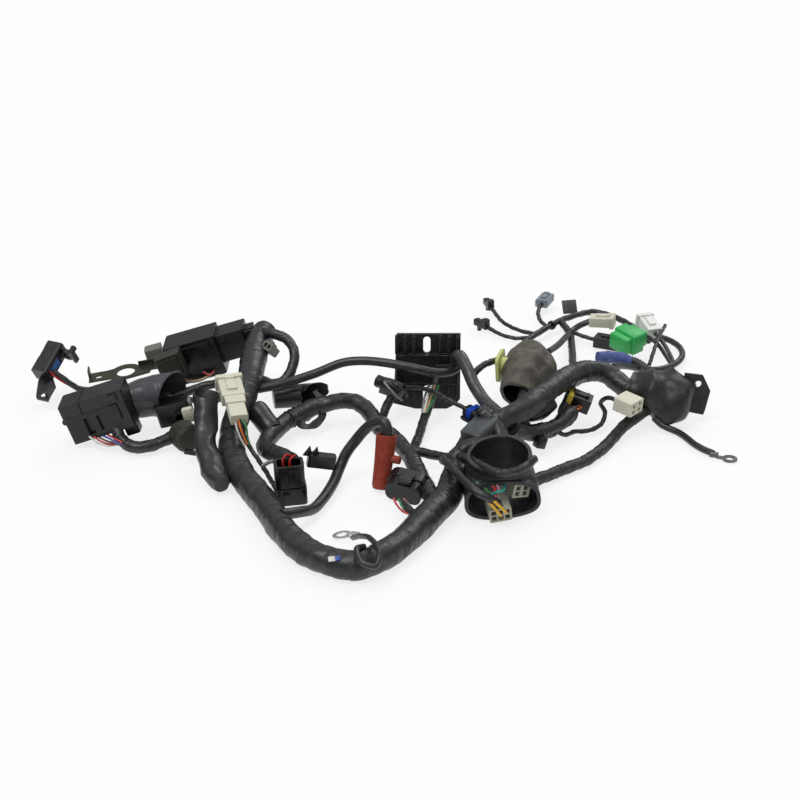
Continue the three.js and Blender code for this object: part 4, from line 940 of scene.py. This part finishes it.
@dataclass(frozen=True)
class SoftSkin:
    """A sleeve or boot: rounded sections of x, y, z, width, height and squareness, carried along a line."""

    name: str
    stations: Sequence[Station]
    wall: float
    finish: Finish
    node: str
    both_open: bool = False
    folds: float = 0.7
    fold_mm: float = 13.0
    sides: int = 56
    between: int = 10
    bead: float = 0.0
    slant: tuple[float, float] = (0.0, 0.0)
    ragged: float = 0.0
    pleats: float = 0.0
    pleat_mm: float = 16.0
    # The inner wall's finish, which by default is darkened as painted shade.
    inside: Finish = SHADED_INSIDE

    def _sections(self) -> list[Station]:
        """The stations with smooth steps between them."""
        given = [Vector(s) for s in self.stations]
        ends = [given[0] * 2 - given[1], *given, given[-1] * 2 - given[-2]]
        made = []
        for a, b, c, d in zip(ends, ends[1:], ends[2:], ends[3:]):
            for step in range(self.between):
                t = step / self.between
                leave, arrive = (c - a) * 0.5, (d - b) * 0.5
                start, turn = 2 * t**3 - 3 * t**2 + 1, t**3 - 2 * t**2 + t
                made.append(tuple(b * start + leave * turn + c * (1 - start) + arrive * (t**3 - t**2)))
        return [*made, tuple(given[-1])]

    def _fold(self, spot: Vector, angle: float, reach_mm: float) -> float:
        """How proud the skin's folds and slanting pleats stand at a spot, in millimetres."""
        slant = 0.4 * math.sin(angle + 0.8)
        ridge = 1 - 2 * abs(math.sin(math.pi * (reach_mm / self.pleat_mm + slant)))
        pleat = self.pleats * ridge * (0.7 + noise.noise(spot / 20))
        return self.folds * noise.noise(spot / self.fold_mm) + pleat

    def _rings(self, inset: float) -> tuple[list[list[Vector]], list[float]]:
        """The skin's rings, that far inside its outer face in millimetres, and how far along each is."""
        sections = self._sections()
        centres = [Vector(s[:3]) for s in sections]
        rings, reach, side = [], [0.0], None
        for i, (_, _, _, width, height, power) in enumerate(sections):
            ahead = (centres[min(i + 1, len(centres) - 1)] - centres[max(i - 1, 0)]).normalized()
            if side is None:
                level = Vector((0, 0, 1)).cross(ahead)
                side = Vector((1, 0, 0)) if level.length < 0.2 else level
            side = (side - ahead * side.dot(ahead)).normalized()
            rise = ahead.cross(side)
            if i:
                reach.append(reach[-1] + (centres[i] - centres[i - 1]).length * MM)
            ring = []
            edge = min(i, len(sections) - 1 - i) if self.both_open else len(sections) - 1 - i
            proud = self.bead if edge < 3 and not inset else 0.0
            near = max(0.0, 1 - (len(sections) - 1 - i) / self.between)
            for k in range(self.sides):
                angle = math.tau * k / self.sides
                c, s = math.cos(angle), math.sin(angle)
                out_x = math.copysign(abs(c) ** (2 / power), c)
                out_y = math.copysign(abs(s) ** (2 / power), s)
                spot = centres[i] + side * (out_x * width / 2) + rise * (out_y * height / 2)
                grow = self._fold(spot, angle, reach[-1] / MM) - inset + proud
                lean = out_x * width / 2 * self.slant[0] + out_y * height / 2 * self.slant[1]
                torn = self.ragged * near**3 * noise.noise(Vector((c * 2.5, s * 2.5, 0.3)))
                spot += side * (out_x * grow) + rise * (out_y * grow) + ahead * (near * lean + torn)
                ring.append(placed(spot))
            rings.append(ring)
        return rings, reach

    def build(self) -> bpy.types.Object:
        """Make the skin with its wall and open rims.

        Returns:
            The skin's object.
        """
        outer, reach = self._rings(0.0)
        inner, _ = self._rings(self.wall)
        shape = Shape(self.name)
        if self.both_open:
            shape.rings([inner[0], *outer, inner[-1]], self.finish, [reach[0], *reach, reach[-1]], (False, False))
            shape.rings(inner[::-1], self.inside, reach[::-1], (False, False))
        else:
            shape.rings([*outer, inner[-1]], self.finish, [*reach, reach[-1]], (True, False))
            shape.rings(inner[:0:-1], self.inside, reach[:0:-1], (False, True))
        made = shape.done(70)
        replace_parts(made, self.node)
        return made


@dataclass(frozen=True)
class SoftParts:
    """The vinyl sleeves, rubber boots and the bent rubber cover."""

    sleeve_wall: float = 1.2
    boot_wall: float = 2.4
    cover_wall: float = 2.2

    def skins(self) -> list[SoftSkin]:
        """Each soft skin with its sections."""
        return [
            SoftSkin("left_vinyl_sleeve", (
                (-236, -4, 31, 28, 28, 2.4), (-226, 1, 31, 35, 33, 2.2),
                (-213, 6, 31, 37, 37, 2), (-199, 9, 31, 39, 41, 2),
            ), self.sleeve_wall, GREY_SLEEVING, "left_sleeve", True, 1.4, 15, bead=0.3, slant=(0.7, 0.0)),
            SoftSkin("hanging_vinyl_sleeve", (
                (-144, -120, 10, 14, 14, 2.4), (-149, -107, 10, 21, 17, 2.2), (-158, -84, 16, 21, 17, 2),
                (-163, -62, 25, 19, 14, 2), (-164, -46, 36, 21, 17, 2), (-165, -32, 51, 22, 19, 2),
            ), self.sleeve_wall, SLEEVING, "hanging_sleeve", folds=2.2, fold_mm=17, bead=0.3, slant=(0.0, -0.7),
                pleats=0.7, pleat_mm=31),
            SoftSkin("open_vinyl_sleeve", (
                (-112, 24, 20, 17, 17, 2), (-98, 27, 21, 20, 20, 2),
                (-85, 27, 22.5, 20, 20, 2), (-75, 23, 24.5, 22, 22, 2),
            ), self.sleeve_wall, SLEEVING, "open_sleeve", slant=(0.7, 0.0), ragged=3.0),
            SoftSkin("capped_cable_end", (
                (-109, -31, 15, 17, 17, 2), (-113, -26, 18, 19, 19, 2),
                (-123, -13, 25, 19, 19, 2), (-126, -10, 27, 16, 16, 2),
            ), 6.0, SLEEVING, "capped_end"),
            SoftSkin("open_rubber_cover", (
                (79, -139, 48, 50, 54, 2), (79.5, -138, 38, 53, 50, 2), (80, -142, 24, 58, 46, 2.2),
                (80, -152, 19.5, 60, 38, 2.4), (81, -163, 18.5, 59, 33, 2.6),
            ), self.cover_wall, COVER_RUBBER, "open_cover", True, 1.2, 18, bead=0.7, inside=COVER_RUBBER),
            SoftSkin("bulb_socket_boot", (
                (132, 66, 42, 26, 22, 2), (126, 62, 40, 44, 40, 2),
                (118, 54, 37, 50, 46, 2), (111, 42, 33, 44, 42, 2),
                (106, 31, 28, 34, 34, 2), (103, 22, 24, 30, 30, 2),
            ), self.boot_wall, TAUPE_RUBBER, "socket_boot", folds=3.4, fold_mm=14, bead=0.6, pleats=1.4, pleat_mm=15),
            SoftSkin("large_rubber_boot", (
                (258, 22, 22, 10, 30, 2.6), (250, 20, 24, 40, 42, 2.6), (238, 18, 25, 50, 46, 2.4),
                (224, 20, 27, 46, 40, 2.2), (212, 24, 29, 36, 32, 2), (203, 27, 30, 33, 28, 2),
            ), self.boot_wall, DARK_RUBBER, "large_boot", folds=3.4, fold_mm=26, bead=0.6, pleats=2.6, pleat_mm=24),
        ]

    def build(self) -> None:
        """Build each soft skin."""
        for skin in self.skins():
            skin.build()


@dataclass(frozen=True)
class LeftTrim:
    """The wires and small pieces round the fuse box, the relay holder and the connectors at the left."""

    wire: float = 0.9

    def wires(self, name: str, *strands: tuple[Finish, Route]) -> None:
        """One piece with a bare wire for each finish and route."""
        shape = Shape(name)
        for finish, route in strands:
            shape.strand(route, self.wire, finish)
        shape.done()

    def build(self) -> None:
        """Build the wires and the small pieces."""
        self.wires(
            "fuse_box_wires",
            (RED_WIRE, ((-262, -36, 12), (-253, -41, 9), (-245, -44, 9), (-238, -43, 10))),
            (BROWN_WIRE, ((-258, -36, 12), (-250, -42, 11), (-243, -45, 11), (-236, -44, 11))),
            (BLUE_WIRE, ((-254, -36, 13), (-247, -42, 13), (-240, -46, 11), (-233, -46, 10))),
            (WHITE_WIRE, ((-266, -35, 12), (-258, -40, 8), (-249, -43, 7), (-240, -43, 8))),
            (RED_WIRE, ((-250, -36, 14), (-243, -43, 14), (-236, -47, 12))),
        )
        self.wires(
            "fuse_holder_wires",
            (RED_WIRE, ((-317, 62, 31), (-312, 60, 26), (-306, 60, 21), (-300, 60, 17))),
            (WHITE_WIRE, ((-318, 65, 30), (-311, 64, 25), (-305, 63, 20), (-299, 61, 16))),
        )
        self.wires(
            "relay_holder_wires",
            (GREY_WIRE, ((-198, 66, 20), (-189, 64, 18), (-179, 65, 20), (-171, 67, 24))),
            (TAN_WIRE, ((-197, 64, 22), (-188, 62, 20), (-178, 63, 22), (-170, 66, 26))),
            (RED_WIRE, ((-178, 66, 27), (-172, 63, 26), (-168, 66, 28))),
            (BLACK_WIRE, ((-152, 80, 60), (-143, 80, 55), (-135, 82, 57), (-128, 85, 60))),
            (BLACK_WIRE, ((-152, 77, 57), (-143, 77, 52), (-135, 80, 54), (-129, 83, 57))),
        )
        self.wires(
            "cream_connector_wires",
            (ORANGE_WIRE, ((-135, -62, 41), (-133, -68, 37), (-130, -72, 30), (-127, -75, 24))),
            (GREEN_WIRE, ((-132, -62, 41), (-128, -67, 36), (-127, -71, 30), (-125, -75, 23))),
            (WHITE_WIRE, ((-138, -60, 41), (-136, -66, 35), (-133, -70, 28), (-129, -74, 22))),
        )
        shape = Shape("cream_pin_block")
        shape.lump((9, 6, 13), pose((-182, -21, 26), (0, -14, 0)), CREAM_NYLON, 1.0)
        shape.lump((11, 1.5, 2), pose((-183, -28, 17), (0, -14, 0)), CREAM_NYLON, 0.4)
        shape.lump((14, 6, 3), pose((-175, -60, 9), (0, 10, 0)), BLACK_NYLON, 0.8)
        shape.done()


@dataclass(frozen=True)
class MiddleTrim:
    """The wires, torn sleeving and small pieces round the finned plate and the front connectors."""

    wire: float = 0.9
    strip_width: float = 6.0

    def torn_strip(self) -> None:
        """The torn strip that hangs from the open sleeve, with the taped dome beside it."""
        shape = Shape("torn_sleeve_strip")
        strip = ((-75, 15, 32), (-68, 9, 23), (-69, -2, 13), (-80, -12, 10), (-92, -7, 13))
        shape.ribbon(strip, self.strip_width, TORN_SLEEVING, 2.0, 0.8)
        shape.lump((17, 12, 9), pose((-86, 2, 15), (20, 10, 15)), TORN_SLEEVING, 4.0, 4)
        shape.done()

    def front_wires(self) -> None:
        """The wires of the square and oval connectors, with the oval one's latch frame and ribs."""
        wires = Shape("front_connector_wires")
        for finish, route in (
            (RED_WIRE, ((-92, -129, 27), (-94, -128, 36), (-91, -125, 40), (-86, -123, 37))),
            (RED_WIRE, ((-88, -130, 27), (-88, -128, 37), (-84, -124, 39))),
            (WHITE_WIRE, ((-93, -112, 27), (-86, -115, 27), (-78, -111, 26))),
            (GREEN_WIRE, ((-93, -110, 29), (-86, -113, 29), (-79, -110, 28))),
            (RED_WIRE, ((-5, -148, 13), (-3, -156, 12), (3, -164, 9), (11, -168, 9))),
            (GREEN_WIRE, ((-1, -148, 12), (2, -158, 10), (8, -166, 8), (16, -170, 9))),
            (PINK_WIRE, ((3, -148, 12), (7, -156, 11), (12, -163, 9), (19, -168, 10))),
        ):
            wires.strand(route, self.wire, finish)
        oval = along((9, -118, 14), (0, -142, 9), -6)
        for size, spot in (
            ((1.6, 3, 14), (-5, 11.5, 12)), ((1.6, 3, 14), (5, 11.5, 12)), ((11.5, 2.5, 2), (0, 12, 18.5)),
            ((1.2, 1.6, 10), (8.5, 8.6, 14.5)), ((1.2, 1.6, 10), (11, 8.2, 14.5)),
            ((1.2, 1.6, 10), (-8.5, 8.6, 14.5)),
        ):
            wires.lump(size, oval @ Matrix.Translation(spot), BLACK_NYLON, 0.4)
        wires.strand(((-112, -112, 23), (-105, -112, 27), (-98, -116, 29), (-91, -120, 33)), 1.7, GREY_WIRE)
        wires.done()

    def plate_wires(self) -> None:
        """The bare wires that converge from the finned plate into their tape."""
        leads = Shape("plate_exposed_wires")
        for finish, x, y in ((WHITE_WIRE, 28, 0), (TAN_WIRE, 31, 0), (GREEN_WIRE, 34, 0), (GREY_WIRE, 25.5, 1)):
            leads.strand(((x, 26 + y, 32), (x - 4, 14 + y, 25), (21 + 0.4 * (x - 29), 2 + y, 16.5)), 1.1, finish)
        leads.strand(((-14, 20, 38), (-8, 14, 33), (-2, 12, 27), (2, 15, 23)), 1.1, GREY_WIRE)
        leads.strand(((-8, 20, 39), (-2, 15, 37), (5, 16, 31), (7, 18, 25)), 1.1, BLACK_WIRE)
        leads.done()

    def blue_seal(self) -> None:
        """The sealed connector's ribbed silicone seal."""
        seal = Shape("ribbed_blue_seal")
        sealed = along((78, -30, 22), (54, -8, 27))
        seal.lump((12.4, 9.4, 5.4), sealed @ Matrix.Translation((0, 0, 20.6)), BLUE_SILICONE, 1.6, 3)
        for z in (18.8, 20.7, 22.6):
            seal.lump((14.6, 11.6, 1.1), sealed @ Matrix.Translation((0, 0, z)), BLUE_SILICONE, 0.5, 2)
        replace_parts(seal.done(), "blue_seal")

    def tape_tab(self) -> None:
        """The small white and blue tab on the trunk."""
        tab = Shape("white_tape_tab")
        tab.lump((6, 4, 1), pose((-50, -256, 20), (35, 0, 12)), WHITE_WIRE, 0.3)
        tab.lump((4, 4, 1), pose((-46, -255.5, 20.4), (35, 0, 12)), BLUE_WIRE, 0.3)
        tab.done()

    def build(self) -> None:
        """Build the torn strip, the wires and the small pieces."""
        for make in (self.torn_strip, self.front_wires, self.plate_wires, self.blue_seal, self.tape_tab):
            make()


@dataclass(frozen=True)
class RightTrim:
    """The splice box, the big boot's flange and the wires and small pieces at the right."""

    wire: float = 0.9
    splice_box: Point = (20.0, 24.0, 30.0)
    band_width: float = 5.0

    def box(self) -> None:
        """The taped splice box on the trunk."""
        box = Shape("taped_splice_box")
        box.lump(self.splice_box, pose((67, -79, 35), (-75, 0, -38)), FLAT_TAPE, 2.2, 3)
        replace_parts(box.done(), "main_trunk")

    def flange(self) -> None:
        """The large boot's flange with its screw hole."""
        ear = Shape("large_boot_flange")
        outline = ((-10, -12), (10, -16), (15, 6), (8, 20), (-8, 22))
        ear.plate(outline, (4, 12, 3.0), 3, pose((258, 20, 24), (80, 0, 0)), DARK_RUBBER)
        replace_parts(ear.done(), "large_boot")

    def green_connector(self) -> None:
        """The green connector, with its mouth turned to the bench and its smooth sides up."""
        at = along((206, 138, 24), (228, 156, 26), 6)
        shape = Shape("green_connector_shell")
        for size, z in (((26, 20, 15), 14.5), ((22, 16, 9), 3.5), ((20, 15, 8), 25)):
            shape.lump(size, at @ Matrix.Translation((0, 0, z)), GREEN_NYLON, 1.4, 3)
        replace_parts(shape.done(), "green_connector")

    def cover_wires(self) -> None:
        """The coloured wires of the two connectors under the open cover."""
        wires = Shape("cover_wires")
        for finish, route in (
            (YELLOW_WIRE, ((62, -170, 31), (70, -176, 28), (78, -180, 22), (83, -178, 16))),
            (YELLOW_WIRE, ((62, -171, 29), (69, -177, 25), (75, -180, 19), (79, -178, 13))),
            (TEAL_WIRE, ((72, -168, 27), (76, -170, 30), (81, -168, 31), (82, -160, 33), (80, -156, 34))),
            (RED_WIRE, ((70, -160, 33), (73, -165, 32), (75, -168, 28), (74, -172, 24))),
            (PINK_WIRE, ((72, -160, 34), (76, -164, 33), (78, -168, 29))),
            (GREEN_WIRE, ((60, -160, 33), (66, -164, 31), (70, -167, 27))),
        ):
            wires.strand(route, 1.3 * self.wire, finish)
        wires.done()

    def band(self) -> None:
        """The banded connector's yellow band and the two wires beside it."""
        band = Shape("yellow_band")
        at = along((166, 2, 24), (148, 6, 30), 0)
        band.lump((17.8, 13.8, self.band_width), at @ Matrix.Translation((0, 0, 19)), YELLOW_BAND, 0.7)
        band.strand(((143, -5, 25), (148, -7, 26), (153, -7, 27), (158, -3, 27)), self.wire, BROWN_WIRE)
        band.strand(((143, -7, 22), (149, -9, 23.5), (154, -8, 25), (159, -3, 25)), self.wire, ORANGE_WIRE)
        band.done()

    def tie(self) -> None:
        """The rear bundle's tie and tape flap, and the block at the side knot."""
        tie = Shape("bundle_tie")
        section = ((3.0, -1.2), (4.6, -1.2), (4.6, 1.2), (3.0, 1.2))
        tie.lathe(section, along((150, 217, 10.4), (158, 226, 11)), BLACK_NYLON, 20)
        tie.lump((15, 14, 0.9), pose((170, 247, 18), (55, 0, 12)), FLAT_TAPE, 0.4)
        tie.lump((9, 8, 10), pose((119, -48, 13), (0, 20, 30)), BLACK_NYLON, 1.0)
        tie.done()

    def corrugated_cover(self) -> None:
        """The short corrugated cover on the blue taped lead."""
        cover = Shape("corrugated_lead_cover")
        run = Line(((209, 102, 24), (217, 99, 23), (225, 94, 20), (232, 92, 16)), 0.6)
        cover.tube(run, 3.8, GREY_TUBING, 20, lambda distance, angle: 0.4 * math.sin(math.tau * distance / 2.4))
        cover.done(70)

    def build(self) -> None:
        """Build the box, the flange, the wires and the small pieces."""
        steps = (
            self.box, self.flange, self.green_connector, self.cover_wires, self.band, self.tie, self.corrugated_cover,
        )
        for make in steps:
            make()


@dataclass(frozen=True)
class RigidParts:
    """The moulded, cast and pressed pieces, which keep their solids."""

    finishes: dict[str, Finish] = field(default_factory=lambda: {
        "clip_fuse_holder": CHARCOAL_NYLON,
        "blue_fuse": FUSE_BLUE,
        "relay_bracket": BRACKET_STEEL,
        "double_relay": GREY_NYLON,
        "cube_relay": OLIVE_NYLON,
        "starter_relay_holder": BLACK_NYLON,
        "fuse_box_base": BLACK_NYLON,
        "fuse_box_lid": CHARCOAL_NYLON,
        "socket_connector": BLACK_NYLON,
        "round_connector": OLIVE_NYLON,
        "cream_connector": CREAM_NYLON,
        "loop_connector": GREY_NYLON,
        "finned_plate": CAST_BLACK,
        "plate_connector": GREY_NYLON,
        "sealed_connector": BLACK_NYLON,
        "square_connector_body": BLACK_NYLON,
        "square_connector_cap": BLACK_NYLON,
        "diode_block": BLACK_NYLON,
        "red_boot": RED_RUBBER,
        "oval_connector": BLACK_NYLON,
        "ring_terminal": TINNED_BRASS,
        "ground_ring": EARTH_STEEL,
        "cover_connector_upper": AGED_NYLON,
        "cover_connector_lower": AGED_NYLON,
        "socket_flange": YELLOW_PLASTIC,
        "upper_elbow": BLACK_NYLON,
        "lower_elbow": BLACK_NYLON,
        "slim_connector": BLUE_GREY_NYLON,
        "cream_connector_right": CREAM_NYLON,
        "black_connector_right": BLACK_NYLON,
        "clear_connector": CLEAR_NYLON,
        "four_pin_connector": CREAM_NYLON,
        "banded_connector": BLACK_NYLON,
    })

    def build(self) -> None:
        """Give each solid its finish."""
        for name, finish in self.finishes.items():
            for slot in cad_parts[name].material_slots:
                slot.material = finish.material()
            log.info("%s: %s", name, finish.name)


@dataclass(frozen=True)
class Studio:
    """The white bench, the soft light and the camera, at the photograph's viewing angle."""

    target: Point = (0.0, 0.0, 30.0)
    elevation: float = 25.0
    distance: float = 1.5
    lens: float = 77.6
    sensor: float = 36.0
    floor_reach: float = 30.0
    shade: float = 0.22
    key: float = 1.1
    rim: float = 0.6
    softness: float = 34.0
    walls: float = 0.12
    ceiling: float = 0.85
    key_place: Point = (-0.5, -0.5, 1.6)
    rim_place: Point = (0.6, 1.1, 1.1)

    def camera(self) -> None:
        """Set the camera at its distance and height above the bench."""
        data = bpy.data.cameras.new("camera")
        data.lens = self.lens
        data.sensor_width = self.sensor
        rise = math.radians(self.elevation)
        made = bpy.data.objects.new("camera", data)
        made.location = placed(self.target) + Vector((0, -math.cos(rise), math.sin(rise))) * self.distance
        made.rotation_euler = (math.radians(90 - self.elevation), 0, 0)
        bpy.context.collection.objects.link(made)
        bpy.context.scene.camera = made

    def bench(self) -> None:
        """Lay a white floor that keeps the object's shadow."""
        data = bpy.data.meshes.new("floor")
        reach = self.floor_reach
        corners = [(-reach, -reach, 0), (reach, -reach, 0), (reach, reach, 0), (-reach, reach, 0)]
        data.from_pydata(corners, [], [(0, 1, 2, 3)])
        made = bpy.data.objects.new("floor", data)
        bpy.context.collection.objects.link(made)
        tree = MaterialTree("white_bench")
        tree.tree.nodes.remove(tree.shader)
        rays = tree.add("ShaderNodeLightPath").outputs
        seen = tree.maths("MAXIMUM", rays["Is Camera Ray"], rays["Is Glossy Ray"])
        share = tree.maths("MULTIPLY", seen, 1.0 - self.shade)
        matt = tree.add("ShaderNodeBsdfDiffuse", {"Color": linear("#f4f4f4")})
        glow = tree.add("ShaderNodeEmission", {"Color": linear("#ffffff"), "Strength": 1.0})
        mixed = tree.add("ShaderNodeMixShader", {0: share, 1: matt.outputs[0], 2: glow.outputs[0]})
        tree.tree.links.new(mixed.outputs[0], tree.tree.nodes["Material Output"].inputs[0])
        data.materials.append(tree.material)

    def sun(self, name: str, place: Point, power: float) -> None:
        """One broad soft light that shines from a place towards the bench."""
        lamp = bpy.data.lights.new(name, "SUN")
        lamp.angle = math.radians(self.softness)
        lamp.energy = power
        made = bpy.data.objects.new(name, lamp)
        made.rotation_euler = (-Vector(place)).to_track_quat("-Z", "Y").to_euler()
        bpy.context.collection.objects.link(made)

    def room(self) -> None:
        """A pale room that is brightest overhead and white where the camera sees it."""
        world = bpy.data.worlds.new("pale_room")
        world.use_nodes = True
        tree = world.node_tree
        rays = add_node(tree, "ShaderNodeLightPath").outputs
        straight = {0: rays["Is Camera Ray"], 1: rays["Is Transmission Ray"]}
        seen = add_node(tree, "ShaderNodeMath", straight, operation="MAXIMUM")
        way = add_node(tree, "ShaderNodeTexCoord")
        rise = add_node(tree, "ShaderNodeSeparateXYZ", {0: way.outputs["Generated"]}).outputs[2]
        lit = add_node(tree, "ShaderNodeMapRange", {"Value": rise, "To Min": self.walls, "To Max": self.ceiling})
        shown = {"Value": seen.outputs[0], "To Min": lit.outputs[0], "To Max": 1.0}
        level = add_node(tree, "ShaderNodeMapRange", shown)
        backdrop = tree.nodes["Background"]
        backdrop.inputs["Color"].default_value = linear("#ffffff")
        tree.links.new(level.outputs[0], backdrop.inputs["Strength"])
        bpy.context.scene.world = world

    def build(self) -> None:
        """Set the camera, the bench and the light."""
        self.camera()
        self.bench()
        self.sun("key", self.key_place, self.key)
        self.sun("rim", self.rim_place, self.rim)
        self.room()
        bpy.context.scene.view_settings.view_transform = "Standard"


def main() -> None:
    """Build the studio and each part of the harness."""
    logging.basicConfig(level=logging.INFO, format="%(message)s")
    for part in (Studio(), Looms(), SoftParts(), LeftTrim(), MiddleTrim(), RightTrim(), RigidParts()):
        part.build()
        log.info("%s built", type(part).__name__)


if __name__ == "__main__":
    main()
